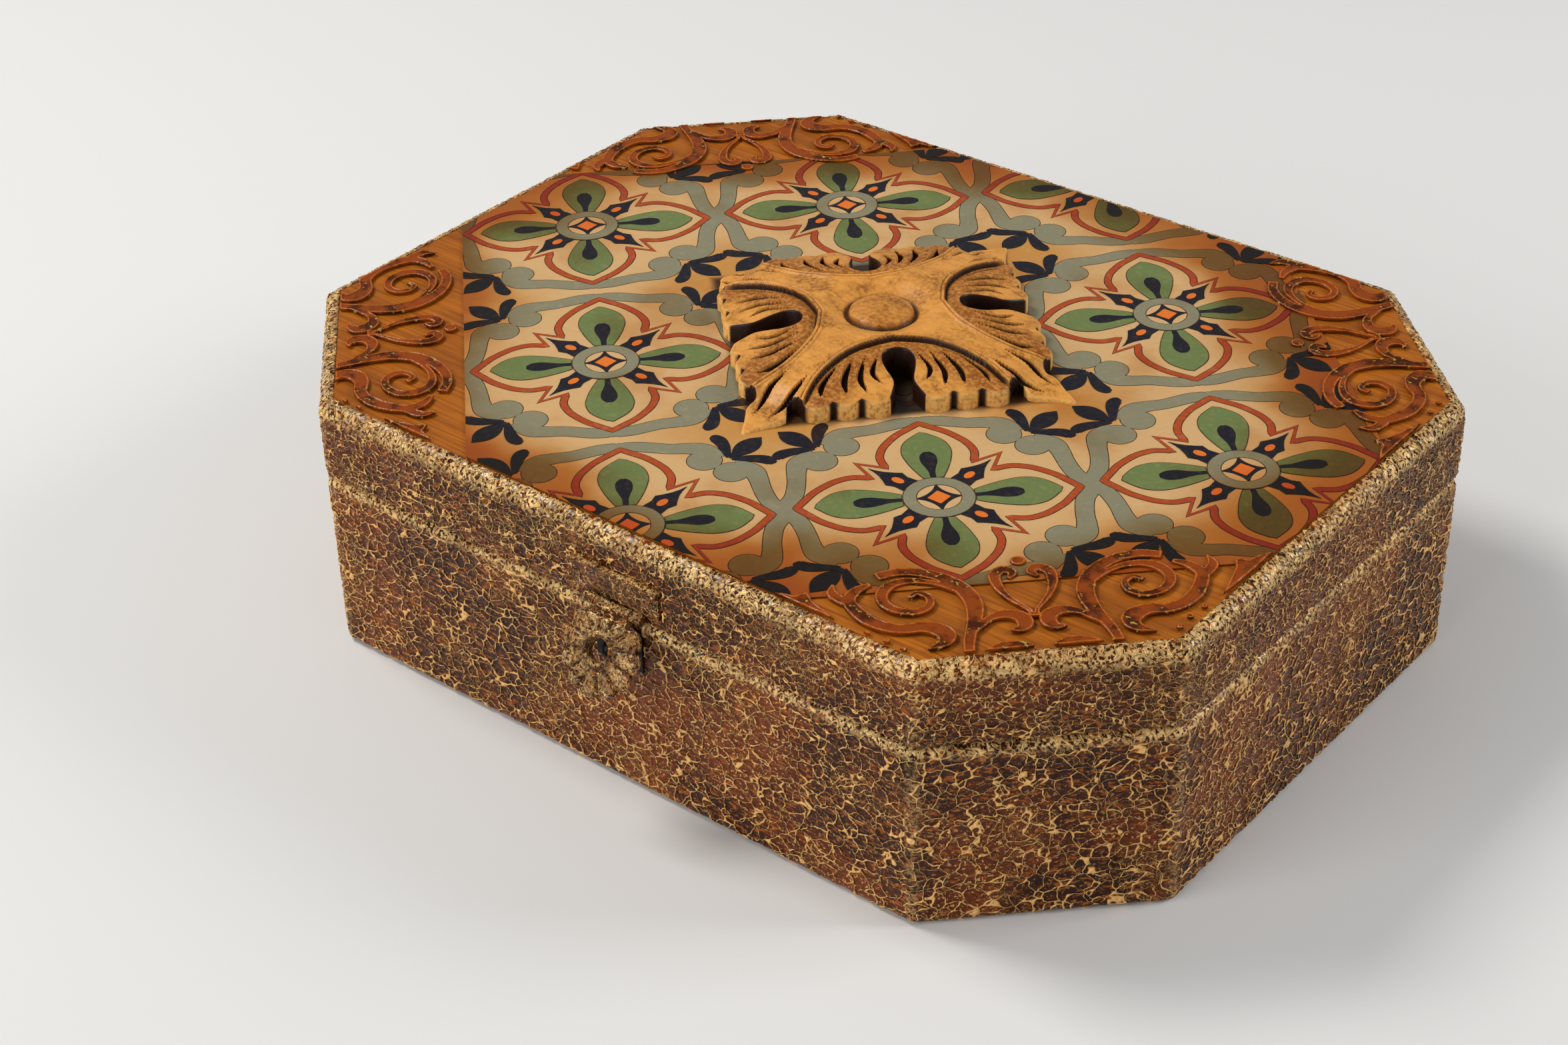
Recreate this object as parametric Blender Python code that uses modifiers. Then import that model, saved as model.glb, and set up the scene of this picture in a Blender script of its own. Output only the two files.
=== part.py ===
"""Eight-sided wooden keepsake box with a hinged lid, a carved rosette and raised scroll corners.

The box stands on z = 0 with its centre on the origin. X runs along the length, the latch is at -Y
and the hinges are at +Y. All lengths are in metres.
"""

import bpy
import bmesh
from math import asin, atan2, cos, pi, radians, sin, sqrt
from mathutils import Matrix, Vector

# Box body
box_length = 0.280
box_depth = 0.220
box_height = 0.075
corner_cut = 0.044
lid_height = 0.0225
wall_thickness = 0.007
top_thickness = 0.005
bottom_thickness = 0.004
rebate_depth = 0.0035
glue_gap = 0.0003
seam_gap = 0.0003
top_edge_round = 0.0035
base_rim_round = 0.0025
lid_rim_round = 0.0010
foot_edge_round = 0.0020
edge_steps = 4

# Printed sheet on the lid, with its four corners cut across
print_thickness = 0.0002
print_margin = 0.0038
print_reach_front_left = 0.1526
print_reach_front_right = 0.1631
print_reach_back_right = 0.1687
print_reach_back_left = 0.1610

# Raised scrollwork, laid through one stencil at each corner
relief_thickness = 0.0012
relief_margin = 0.0038
scroll_steps = 2
leaf_steps = 1
stencil_size = 0.100
relief_layout = [
    ("front_right", -0.0005, 0.0000), ("back_right", 0.0040, -0.0040),
    ("back_left", 0.0015, -0.0025), ("front_left", -0.0028, -0.0042),
]

# Carved rosette
rosette_half = 0.0414
rosette_field_height = 0.0092
rosette_ridge_radius = 0.0009
rosette_ridge_lift = -0.0003
rosette_fan_inset = 0.0007
rosette_fan_top = 0.0085
rosette_fan_edge = 0.0042
rosette_tip_height = 0.0026
rosette_dish_floor = 0.0073
rosette_boss_radius = 0.0091
rosette_boss_height = 0.0097
rosette_arm_half = 0.0036
rosette_arch_apex = 0.0156
rosette_slope_start = 0.0320
rosette_flute_width = 0.0016
rosette_flute_depth = 0.0014
rosette_flute_segments = 8
rosette_flute_rings = 6
rosette_dish_lift = 0.0001
arch_steps = 8
arch_leg_share = 0.88
boss_sides = 24
boss_rings = 5
boss_groove = 0.0008
rosette_centre_x = 0.0003
rosette_centre_y = 0.0042
rosette_turn = radians(47)

# Back hinges
hinge_end_distance = 0.0310
hinge_width = 0.0260
hinge_leaf_depth = 0.0058
hinge_leaf_thickness = 0.0008
hinge_barrel_radius = 0.0019
hinge_pin_radius = 0.0009
hinge_pin_clearance = 0.0003
hinge_setback = 0.0023
hinge_knuckle_gap = 0.0003
hinge_centre_knuckle = 0.0100
hinge_sides = 16
screw_spacing = 0.0160
screw_head_radius = 0.0016
screw_shank_radius = 0.0008
screw_length = 0.0080
screw_sides = 8
fit_gap = 0.0003

# Front latch
latch_centre_x = 0.0070
latch_plate_width = 0.0280
latch_plate_height = 0.0080
latch_plate_thickness = 0.0010
latch_ledge_height = 0.0016
latch_ledge_thickness = 0.0009
latch_tab_inset = 0.0002
latch_axis_height = 0.0022
latch_axis_standoff = 0.0020
latch_barrel_radius = 0.0014
latch_pin_radius = 0.0006
latch_pin_clearance = 0.0003
latch_knuckle_width = 0.0110
latch_outer_knuckle = 0.0035
latch_sides = 12
hasp_thickness = 0.0012
hasp_radius = 0.0118
hasp_drop = 0.0110
hasp_scallop_depth = 0.0010
hasp_lobes = 9
hasp_lobe_steps = 4
hasp_shoulder_gap = 0.0004
hasp_hole_radius = 0.0034
hasp_hole_sides = 16
hasp_rest_angle = radians(30)
catch_plate_width = 0.0150
catch_plate_height = 0.0120
catch_plate_thickness = 0.0007
knob_stem_radius = 0.0013
knob_head_radius = 0.0025
knob_standoff = 0.0022
knob_stem_length = 0.0050
knob_rings = 6
knob_sides = 12
nail_head_radius = 0.0011
nail_shank_radius = 0.0005
nail_length = 0.0050
nail_sides = 8
nail_inset = 0.0018

overrun = 0.0100
weld_distance = 0.00001

half_length = box_length / 2
half_depth = box_depth / 2
base_height = box_height - lid_height
lid_bottom = base_height + seam_gap
lid_board_top = box_height - top_thickness - glue_gap
top_underside = box_height - top_thickness
print_top = box_height + glue_gap + print_thickness
onlay_level = print_top + glue_gap

side_names = [
    "front", "front_right", "right", "back_right",
    "back", "back_left", "left", "front_left",
]


def clear_scene():
    for thing in list(bpy.data.objects):
        bpy.data.objects.remove(thing, do_unlink=True)


def new_collection(name):
    collection = bpy.data.collections.new(name)
    bpy.context.scene.collection.children.link(collection)
    return collection


clear_scene()
parts = new_collection("keepsake_box")
cutters = new_collection("cutters")


def make_material(name, colour, roughness, metallic=0.0):
    """A plain Principled material."""
    material = bpy.data.materials.new(name)
    material.use_nodes = True
    shader = material.node_tree.nodes["Principled BSDF"]
    shader.inputs["Base Color"].default_value = (*colour, 1.0)
    shader.inputs["Roughness"].default_value = roughness
    shader.inputs["Metallic"].default_value = metallic
    material.diffuse_color = (*colour, 1.0)
    return material


coated_wood = make_material("coated_wood", (0.16, 0.07, 0.02), 0.45)
plain_wood = make_material("plain_wood", (0.45, 0.27, 0.12), 0.60)
honey_wood = make_material("honey_wood", (0.52, 0.20, 0.04), 0.30)
printed_paper = make_material("printed_paper", (0.70, 0.48, 0.25), 0.35)
relief_paste = make_material("relief_paste", (0.30, 0.09, 0.02), 0.30)
carved_wood = make_material("carved_wood", (0.48, 0.22, 0.06), 0.30)
hinge_brass = make_material("hinge_brass", (0.58, 0.40, 0.16), 0.35, 1.0)
latch_metal = make_material("latch_metal", (0.22, 0.11, 0.04), 0.45, 0.6)


def mesh_object(name, mesh, material):
    """A visible part of the box."""
    part = bpy.data.objects.new(name, mesh)
    mesh.materials.clear()
    mesh.materials.append(material)
    parts.objects.link(part)
    return part


def cutter_object(name, mesh):
    """A hidden helper that cuts or joins."""
    helper = bpy.data.objects.new(name, mesh)
    helper.hide_render = True
    helper.display_type = "WIRE"
    cutters.objects.link(helper)
    return helper


def weld(mesh):
    """Join loose caps, point the faces outwards."""
    shape = bmesh.new()
    shape.from_mesh(mesh)
    bmesh.ops.remove_doubles(shape, verts=shape.verts, dist=weld_distance)
    bmesh.ops.recalc_face_normals(shape, faces=shape.faces)
    shape.to_mesh(mesh)
    shape.free()
    return mesh


def curve_to_mesh(curve, name):
    """Turn a curve into a welded mesh and drop the curve."""
    holder = bpy.data.objects.new(name + "_curve", curve)
    cutters.objects.link(holder)
    bpy.context.view_layer.update()
    graph = bpy.context.evaluated_depsgraph_get()
    mesh = bpy.data.meshes.new_from_object(holder.evaluated_get(graph))
    mesh.name = name
    bpy.data.objects.remove(holder, do_unlink=True)
    bpy.data.curves.remove(curve)
    return weld(mesh)


def outline_mesh(name, outlines, bottom, top):
    """A flat outline, with any holes, extruded from bottom to top."""
    curve = bpy.data.curves.new(name, "CURVE")
    curve.dimensions = "2D"
    curve.fill_mode = "BOTH"
    curve.extrude = (top - bottom) / 2
    for outline in outlines:
        spline = curve.splines.new("POLY")
        spline.points.add(len(outline) - 1)
        for point, (x, y) in zip(spline.points, outline):
            point.co = (x, y, 0.0, 1.0)
        spline.use_cyclic_u = True
    mesh = curve_to_mesh(curve, name)
    mesh.transform(Matrix.Translation((0.0, 0.0, (top + bottom) / 2)))
    return mesh


def section_mesh(name, section, start, end):
    """A cross-section of (y, z) points run along X."""
    mesh = outline_mesh(name, [section], start, end)
    mesh.transform(Matrix(((0, 0, 1, 0), (1, 0, 0, 0), (0, 1, 0, 0), (0, 0, 0, 1))))
    return mesh


def tube_mesh(name, path, radius, resolution=1):
    """A round bar along a path of points."""
    curve = bpy.data.curves.new(name, "CURVE")
    curve.dimensions = "3D"
    curve.bevel_depth = radius
    curve.bevel_resolution = resolution
    curve.use_fill_caps = True
    spline = curve.splines.new("POLY")
    spline.points.add(len(path) - 1)
    for point, place in zip(spline.points, path):
        point.co = (*place, 1.0)
    return curve_to_mesh(curve, name)


def turned_mesh(name, profile, steps):
    """A profile of (radius, height) points turned about Z."""
    mesh = bpy.data.meshes.new(name)
    points = [(radius, 0.0, height) for radius, height in profile]
    edges = [(index, index + 1) for index in range(len(points) - 1)]
    mesh.from_pydata(points, edges, [])
    holder = bpy.data.objects.new(name + "_profile", mesh)
    cutters.objects.link(holder)
    screw = holder.modifiers.new("turn", "SCREW")
    screw.axis = "Z"
    screw.angle = 2 * pi
    screw.steps = steps
    screw.render_steps = steps
    screw.use_merge_vertices = True
    screw.merge_threshold = weld_distance
    bpy.context.view_layer.update()
    graph = bpy.context.evaluated_depsgraph_get()
    turned = bpy.data.meshes.new_from_object(holder.evaluated_get(graph))
    turned.name = name
    bpy.data.objects.remove(holder, do_unlink=True)
    bpy.data.meshes.remove(mesh)
    return weld(turned)


def box_mesh(name, low, high):
    """A box between two opposite corners."""
    shape = bmesh.new()
    bmesh.ops.create_cube(shape, size=1.0)
    size = Vector(high) - Vector(low)
    middle = (Vector(high) + Vector(low)) / 2
    shape.transform(Matrix.Translation(middle) @ Matrix.Diagonal((*size, 1.0)))
    mesh = bpy.data.meshes.new(name)
    shape.to_mesh(mesh)
    shape.free()
    return mesh


def rod_mesh(name, radius, start, end, sides):
    """A cylinder from one point to another."""
    shape = bmesh.new()
    run = Vector(end) - Vector(start)
    bmesh.ops.create_cone(
        shape, cap_ends=True, segments=sides, radius1=radius, radius2=radius, depth=run.length)
    turn = run.to_track_quat("Z", "Y").to_matrix().to_4x4()
    shape.transform(Matrix.Translation((Vector(start) + Vector(end)) / 2) @ turn)
    mesh = bpy.data.meshes.new(name)
    shape.to_mesh(mesh)
    shape.free()
    return mesh


def joined_mesh(name, meshes):
    """Several closed shapes in one mesh."""
    shape = bmesh.new()
    for mesh in meshes:
        shape.from_mesh(mesh)
    joined = bpy.data.meshes.new(name)
    shape.to_mesh(joined)
    shape.free()
    return joined


def combine(part, helper, operation):
    """Cut a part with a helper, or join or trim it with one, and apply the result."""
    modifier = part.modifiers.new(operation.lower(), "BOOLEAN")
    modifier.operation = operation
    modifier.solver = "EXACT"
    modifier.object = helper
    bpy.context.view_layer.update()
    graph = bpy.context.evaluated_depsgraph_get()
    result = bpy.data.meshes.new_from_object(part.evaluated_get(graph))
    part.modifiers.clear()
    old = part.data
    result.name = old.name
    part.data = result
    bpy.data.meshes.remove(old)


def shade(part, angle=radians(35)):
    part.data.shade_smooth()
    part.data.set_sharp_from_angle(angle=angle)


def arc_points(centre_x, centre_y, radius, start, end, steps):
    """Points on an arc, ends included."""
    points = []
    for step in range(steps + 1):
        angle = start + (end - start) * step / steps
        points.append((centre_x + radius * cos(angle), centre_y + radius * sin(angle)))
    return points


def octagon(inset):
    """The box's outline drawn in by an inset, counter-clockwise from the front left corner."""
    x = half_length - inset
    y = half_depth - inset
    diagonal = half_length + half_depth - corner_cut - inset * sqrt(2)
    across = diagonal - y
    along = diagonal - x
    return [
        (-across, -y), (across, -y), (x, -along), (x, along),
        (across, y), (-across, y), (-x, along), (-x, -along),
    ]


def side_frame(index):
    """Length of one side and the matrix that sets a board there, x along it and y inwards."""
    corners = octagon(0.0)
    start = Vector((*corners[index], 0.0))
    end = Vector((*corners[(index + 1) % len(corners)], 0.0))
    run = end - start
    place = Matrix.Translation((start + end) / 2) @ Matrix.Rotation(atan2(run.y, run.x), 4, "Z")
    return run.length, place


def mitred_board(name, index, profile):
    """One wall board: its cross-section run along a side, with both ends sawn to the mitre."""
    length, place = side_frame(index)
    mesh = section_mesh(name, profile, -length / 2 - overrun, length / 2 + overrun)
    shape = bmesh.new()
    shape.from_mesh(mesh)
    slant = pi / len(side_names)
    for end in (-1, 1):
        saw = Vector((end * cos(slant), sin(slant), 0.0))
        corner = Vector((end * length / 2, 0.0, 0.0)) - saw * glue_gap / 2
        everything = shape.verts[:] + shape.edges[:] + shape.faces[:]
        bmesh.ops.bisect_plane(
            shape, geom=everything, plane_co=corner, plane_no=saw, clear_outer=True)
        rim = [edge for edge in shape.edges if edge.is_boundary]
        bmesh.ops.holes_fill(shape, edges=rim)
    bmesh.ops.recalc_face_normals(shape, faces=shape.faces)
    shape.to_mesh(mesh)
    shape.free()
    board = mesh_object(name, mesh, coated_wood)
    board.matrix_world = place
    return board


def base_profile():
    """Base wall section: rounded foot and rim outside, a rebate for the bottom panel inside."""
    foot = foot_edge_round
    rim = base_rim_round
    rebate_top = bottom_thickness + glue_gap
    section = arc_points(foot, foot, foot, pi, 1.5 * pi, edge_steps)
    section += [(wall_thickness - rebate_depth, 0.0)]
    section += [(wall_thickness - rebate_depth, rebate_top)]
    section += [(wall_thickness, rebate_top)]
    section += [(wall_thickness, base_height)]
    section += arc_points(rim, base_height - rim, rim, 0.5 * pi, pi, edge_steps)
    return section


def lid_profile():
    """Lid wall section: a small round on its lower outer edge."""
    low = lid_bottom
    edge = lid_rim_round
    section = arc_points(edge, low + edge, edge, pi, 1.5 * pi, edge_steps)
    section += [(wall_thickness, low), (wall_thickness, lid_board_top), (0.0, lid_board_top)]
    return section


def round_top_edge(part, level, radius):
    """Round the edges that lie at one level."""
    shape = bmesh.new()
    shape.from_mesh(part.data)
    rim = [
        edge for edge in shape.edges
        if all(abs(vert.co.z - level) < weld_distance for vert in edge.verts)
        and len(edge.link_faces) == 2 and abs(edge.calc_face_angle()) > radians(60)
    ]
    bmesh.ops.bevel(
        shape, geom=rim, offset=radius, segments=edge_steps, profile=0.5,
        affect="EDGES", clamp_overlap=True)
    shape.to_mesh(part.data)
    shape.free()


def build_walls():
    base_boards = {}
    lid_boards = {}
    for index, side in enumerate(side_names):
        base_boards[side] = mitred_board("base_board_" + side, index, base_profile())
        lid_boards[side] = mitred_board("lid_board_" + side, index, lid_profile())
    return base_boards, lid_boards


def build_panels():
    """The bottom panel sits up in the rebate, flush with the walls; the top panel covers them."""
    bottom_inset = wall_thickness - rebate_depth + glue_gap
    bottom = mesh_object(
        "bottom_panel",
        outline_mesh("bottom_panel", [octagon(bottom_inset)], 0.0, bottom_thickness), plain_wood)
    top = mesh_object(
        "top_panel",
        outline_mesh("top_panel", [octagon(0.0)], top_underside, box_height), honey_wood)
    round_top_edge(top, box_height, top_edge_round)
    shade(bottom)
    shade(top)


def build_print_sheet():
    """Paper that covers the panel, cut straight across at each corner."""
    x = half_length - print_margin
    y = half_depth - print_margin
    low = box_height + glue_gap
    outline = [
        (-(print_reach_front_left - y), -y), (print_reach_front_right - y, -y),
        (x, -(print_reach_front_right - x)), (x, print_reach_back_right - x),
        (print_reach_back_right - y, y), (-(print_reach_back_left - y), y),
        (-x, print_reach_back_left - x), (-x, -(print_reach_front_left - x)),
    ]
    mesh_object("print_sheet", outline_mesh("print_sheet", [outline], low, print_top), printed_paper)


# Scrollwork strokes in the stencil's own frame. Each point is (along the cut corner, towards the
# lid's centre, half width), as shares of stencil_size. The other half is the mirror image.
stem_shares = [
    (0.165, 0.030, 0.012), (0.158, 0.080, 0.014), (0.146, 0.125, 0.015), (0.131, 0.175, 0.019),
    (0.126, 0.233, 0.022), (0.144, 0.293, 0.021), (0.183, 0.340, 0.018), (0.233, 0.367, 0.016),
    (0.282, 0.373, 0.015), (0.324, 0.360, 0.014),
]
coil_shares = [
    (0.155, 0.280, 0.006), (0.190, 0.312, 0.008), (0.229, 0.330, 0.010), (0.270, 0.334, 0.013),
    (0.303, 0.319, 0.015), (0.322, 0.287, 0.015), (0.319, 0.250, 0.014), (0.293, 0.220, 0.013),
    (0.253, 0.210, 0.012), (0.223, 0.231, 0.011), (0.220, 0.265, 0.010), (0.243, 0.284, 0.009),
    (0.263, 0.268, 0.007),
]
hooked_leaf_shares = [
    (0.148, 0.108, 0.006), (0.121, 0.138, 0.009), (0.103, 0.159, 0.011), (0.080, 0.171, 0.014),
    (0.052, 0.172, 0.018), (0.030, 0.156, 0.020), (0.027, 0.130, 0.019), (0.042, 0.112, 0.012),
    (0.062, 0.112, 0.003),
]
heart_shares = [
    (0.033, 0.313, 0.005), (0.022, 0.336, 0.013), (0.040, 0.351, 0.015), (0.062, 0.331, 0.015),
    (0.062, 0.289, 0.013), (0.048, 0.244, 0.009), (0.026, 0.208, 0.007), (0.009, 0.183, 0.006),
    (0.005, 0.158, 0.008),
]
wave_leaf_shares = [
    (0.342, 0.333, 0.007), (0.376, 0.312, 0.014), (0.396, 0.276, 0.016), (0.386, 0.235, 0.018),
    (0.364, 0.194, 0.019), (0.330, 0.162, 0.018), (0.292, 0.147, 0.018), (0.253, 0.150, 0.020),
    (0.220, 0.138, 0.024), (0.203, 0.112, 0.023), (0.213, 0.083, 0.016), (0.249, 0.063, 0.003),
]
fishtail_shares = [
    (0.424, 0.344, 0.003), (0.430, 0.310, 0.013), (0.414, 0.282, 0.014), (0.398, 0.265, 0.012),
]


def smooth_through(points, steps):
    """Points of an even curve through the given ones."""
    if steps < 2:
        return [Vector(point) for point in points]
    ends = [2 * Vector(points[0]) - Vector(points[1])]
    ends += [Vector(point) for point in points]
    ends += [2 * Vector(points[-1]) - Vector(points[-2])]
    curve = []
    for index in range(1, len(ends) - 2):
        a, b, c, d = ends[index - 1:index + 3]
        for step in range(steps):
            t = step / steps
            curve.append(0.5 * (
                2 * b + (c - a) * t + (2 * a - 5 * b + 4 * c - d) * t * t
                + (3 * b - a - 3 * c + d) * t * t * t))
    curve.append(ends[-2])
    return curve


def stroke_outline(points, steps):
    """The closed outline of a stroke that swells and tapers."""
    line = smooth_through(points, steps)
    left = []
    right = []
    for index, point in enumerate(line):
        before = line[max(index - 1, 0)]
        after = line[min(index + 1, len(line) - 1)]
        heading = Vector((after.x - before.x, after.y - before.y)).normalized()
        across = Vector((-heading.y, heading.x)) * point.z
        left.append((point.x + across.x, point.y + across.y))
        right.append((point.x - across.x, point.y - across.y))
    return left + right[::-1]


def corner_place(side, slide, reach):
    """Matrix from the stencil's frame to a cut corner, with the stencil shifted as it was laid."""
    length, place = side_frame(side_names.index(side))
    return place @ Matrix.Translation((slide, reach, 0.0))


def merge_strokes(name, strokes, place, trim):
    """Strokes that run into each other, fused, set at a corner and trimmed at the lid's edge."""
    top = onlay_level + relief_thickness
    solids = []
    for shares, steps, mirror in strokes:
        points = [
            (mirror * stencil_size * along, stencil_size * inward, stencil_size * half)
            for along, inward, half in shares
        ]
        mesh = outline_mesh(name, [stroke_outline(points, steps)], onlay_level, top)
        mesh.transform(place)
        solids.append(mesh)
    relief = mesh_object(name, solids[0], relief_paste)
    for mesh in solids[1:]:
        combine(relief, cutter_object(name + "_stroke", mesh), "UNION")
    combine(relief, trim, "INTERSECT")
    shade(relief)


def build_reliefs():
    """Each cut corner gets one fused scroll with a heart in its middle, and a leaf on either side."""
    top = onlay_level + relief_thickness
    trim = cutter_object("relief_trim", outline_mesh(
        "relief_trim", [octagon(relief_margin)], onlay_level - overrun, top + overrun))
    for side, slide, reach in relief_layout:
        place = corner_place(side, slide, reach)
        scroll = []
        for mirror in (-1, 1):
            scroll.append((stem_shares, scroll_steps, mirror))
            scroll.append((coil_shares, scroll_steps, mirror))
            scroll.append((hooked_leaf_shares, leaf_steps, mirror))
            scroll.append((heart_shares, scroll_steps, mirror))
            leaf = [(wave_leaf_shares, leaf_steps, mirror), (fishtail_shares, leaf_steps, mirror)]
            word = "a" if mirror < 0 else "b"
            merge_strokes("relief_leaf_" + side + "_" + word, leaf, place, trim)
        merge_strokes("relief_scroll_" + side, scroll, place, trim)


# Carved rosette. One side's outline, from its middle to the corner, as shares of rosette_half:
# (outwards, sideways).
keyhole_shares = [
    (0.498, 0.000), (0.514, 0.056), (0.560, 0.090), (0.628, 0.097), (0.700, 0.083),
    (0.773, 0.062), (0.821, 0.056), (0.882, 0.070), (0.942, 0.094),
]
scallop_shares = [(0.985, 0.111), (0.968, 0.285), (0.966, 0.464), (0.975, 0.642)]
scallop_bulge_share = 0.034
deep_notch_shares = [(0.950, 0.662), (0.866, 0.686), (0.862, 0.718), (0.950, 0.758)]
corner_tip_shares = [(0.990, 0.800), (1.010, 0.900), (1.055, 1.035)]
flute_shares = [
    ((0.585, 0.375), (0.884, 0.534)), ((0.589, 0.280), (0.903, 0.370)),
    ((0.582, 0.205), (0.884, 0.249)), ((0.590, 0.140), (0.790, 0.146)),
]
corner_gouge_shares = [((0.739, 0.628), (0.925, 0.874))]


def rosette_side():
    """Outline of one side, between two corners, in the frame where it faces +X."""
    half = list(keyhole_shares)
    stops = list(scallop_shares)
    for start, end in zip(stops, stops[1:]):
        half.append(start)
        middle_out = (start[0] + end[0]) / 2
        middle_side = (start[1] + end[1]) / 2
        half.append((middle_out + scallop_bulge_share, middle_side))
    half.append(stops[-1])
    half.append((scallop_shares[0][0], (stops[-1][1] + deep_notch_shares[0][1]) / 2))
    half += deep_notch_shares + corner_tip_shares
    other = [(out, -sideways) for out, sideways in half[:0:-1]]
    return [(rosette_half * out, rosette_half * sideways) for out, sideways in other + half]


def turned_points(points, quarter):
    angle = quarter * pi / 2
    return [
        (x * cos(angle) - y * sin(angle), x * sin(angle) + y * cos(angle)) for x, y in points
    ]


def arch_path(offset, steps):
    """Line of one arch: round at its crown, then straight beside the two arms."""
    arm = rosette_arm_half + offset
    corner = arm * sqrt(2)
    radius = (rosette_arch_apex + offset - corner) / (sqrt(2) - 1)
    centre = rosette_arch_apex + offset + radius
    crown = arc_points(centre, 0.0, radius, 1.25 * pi, 0.75 * pi, steps)
    leg = rosette_half * arch_leg_share
    foot_low = (leg, -(leg - corner))
    foot_high = (leg, leg - corner)
    return [foot_low] + crown + [foot_high]


def surface_height(x, y):
    """Level of the carved field, which falls away towards the corner tips."""
    reach = sqrt(x * x + y * y)
    if reach <= rosette_slope_start:
        return rosette_field_height
    full = rosette_half * sqrt(2) - rosette_slope_start
    drop = (rosette_field_height - rosette_tip_height) / full
    return rosette_field_height - drop * (reach - rosette_slope_start)


def gouge_mesh(name, start, end):
    """A long pointed scoop between two points, as a stretched ball."""
    shape = bmesh.new()
    bmesh.ops.create_uvsphere(
        shape, u_segments=rosette_flute_segments, v_segments=rosette_flute_rings, radius=1.0)
    run = end - start
    turn = run.to_track_quat("X", "Z").to_matrix().to_4x4()
    stretch = Matrix.Diagonal((run.length / 2, rosette_flute_width / 2, rosette_flute_depth, 1.0))
    shape.transform(Matrix.Translation((start + end) / 2) @ turn @ stretch)
    mesh = bpy.data.meshes.new(name)
    shape.to_mesh(mesh)
    shape.free()
    return mesh


def fan_floor(out):
    """Level of the fans, which slope from under the arch down to the side."""
    span = rosette_half - rosette_arch_apex
    return rosette_fan_top + (rosette_fan_edge - rosette_fan_top) * (out - rosette_arch_apex) / span


def gouge_lines():
    """Both ends of every scoop on one side, at the level of the wood there."""
    lines = []
    for mirror in (-1, 1):
        for pair in flute_shares:
            ends = [(rosette_half * out, mirror * rosette_half * across) for out, across in pair]
            lines.append([Vector((x, y, fan_floor(x))) for x, y in ends])
        for pair in corner_gouge_shares:
            ends = [(rosette_half * out, mirror * rosette_half * across) for out, across in pair]
            lines.append([Vector((x, y, surface_height(x, y))) for x, y in ends])
    return lines


def build_rosette():
    outline = []
    for quarter in range(4):
        outline += turned_points(rosette_side(), quarter)
    blank = outline_mesh("carved_rosette", [outline], 0.0, rosette_field_height)
    rosette = mesh_object("carved_rosette", blank, carved_wood)
    scoops = []
    gouges = []
    ridges = []
    for quarter in range(4):
        turn = Matrix.Rotation(quarter * pi / 2, 4, "Z")
        inner = arch_path(rosette_fan_inset, arch_steps)
        reach = rosette_half + overrun
        spread = reach - rosette_arm_half
        fan = outline_mesh(
            "fan_cutter", [inner + [(reach, spread), (reach, -spread)]],
            rosette_fan_edge, rosette_field_height + overrun)
        for vertex in fan.vertices:
            if vertex.co.z < rosette_field_height:
                vertex.co.z = fan_floor(vertex.co.x)
        fan.transform(turn)
        scoops.append(fan)
        tip_run = rosette_half * sqrt(2) - rosette_slope_start
        fall = atan2(rosette_field_height - rosette_tip_height, tip_run)
        tip = box_mesh("tip_cutter", (0.0, -reach, 0.0), (reach, reach, overrun))
        tip.transform(
            Matrix.Rotation(quarter * pi / 2 + pi / 4, 4, "Z")
            @ Matrix.Translation((rosette_slope_start, 0.0, rosette_field_height))
            @ Matrix.Rotation(fall, 4, "Y"))
        scoops.append(tip)
        for start, end in gouge_lines():
            gouge = gouge_mesh("flute", start, end)
            gouge.transform(turn)
            gouges.append(gouge)
        arch = [
            (x, y, surface_height(x, y) + rosette_ridge_lift) for x, y in arch_path(0.0, arch_steps)
        ]
        ridge = tube_mesh("arch_ridge", arch, rosette_ridge_radius)
        ridge.transform(turn)
        ridges.append(ridge)
    dish = turned_mesh("dish_cutter", [
        (0.0, rosette_dish_floor), (rosette_boss_radius, rosette_dish_floor),
        (rosette_arch_apex - 2 * rosette_ridge_radius, rosette_field_height + rosette_dish_lift),
        (rosette_arch_apex - 2 * rosette_ridge_radius, rosette_field_height + overrun),
        (0.0, rosette_field_height + overrun)], boss_sides)
    for mesh in scoops + [dish]:
        combine(rosette, cutter_object("rosette_scoop", mesh), "DIFFERENCE")
    combine(rosette, cutter_object("rosette_flutes", joined_mesh("flutes", gouges)), "DIFFERENCE")
    for ridge in ridges:
        combine(rosette, cutter_object("rosette_ridge", ridge), "UNION")
    boss_profile = [(0.0, rosette_boss_height)]
    rise = rosette_boss_height - rosette_dish_floor
    for step in range(1, boss_rings + 1):
        angle = 0.5 * pi * step / boss_rings
        boss_profile.append((
            (rosette_boss_radius - boss_groove) * sin(angle),
            rosette_dish_floor + rise * cos(angle)))
    boss_profile += [(rosette_boss_radius - boss_groove, rosette_field_height / 2)]
    boss_profile += [(0.0, rosette_field_height / 2)]
    combine(rosette, cutter_object("rosette_boss", turned_mesh("boss", boss_profile, boss_sides)), "UNION")
    rosette.data.transform(
        Matrix.Translation((rosette_centre_x, rosette_centre_y, onlay_level))
        @ Matrix.Rotation(rosette_turn, 4, "Z"))
    shade(rosette, radians(30))


def countersunk_mesh(name, head_radius, shank_radius, head_depth, length, sides, gap=0.0):
    """A countersunk screw or nail, head uppermost at z = 0; with a gap, the hole that it needs."""
    above = overrun if gap else 0.0
    profile = [(0.0, above), (head_radius + gap, above)]
    if gap:
        profile.append((head_radius + gap, 0.0))
    profile += [
        (shank_radius + gap, -head_depth), (shank_radius + gap, -length - gap),
        (0.0, -length - gap)]
    return turned_mesh(name, profile, sides)


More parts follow.
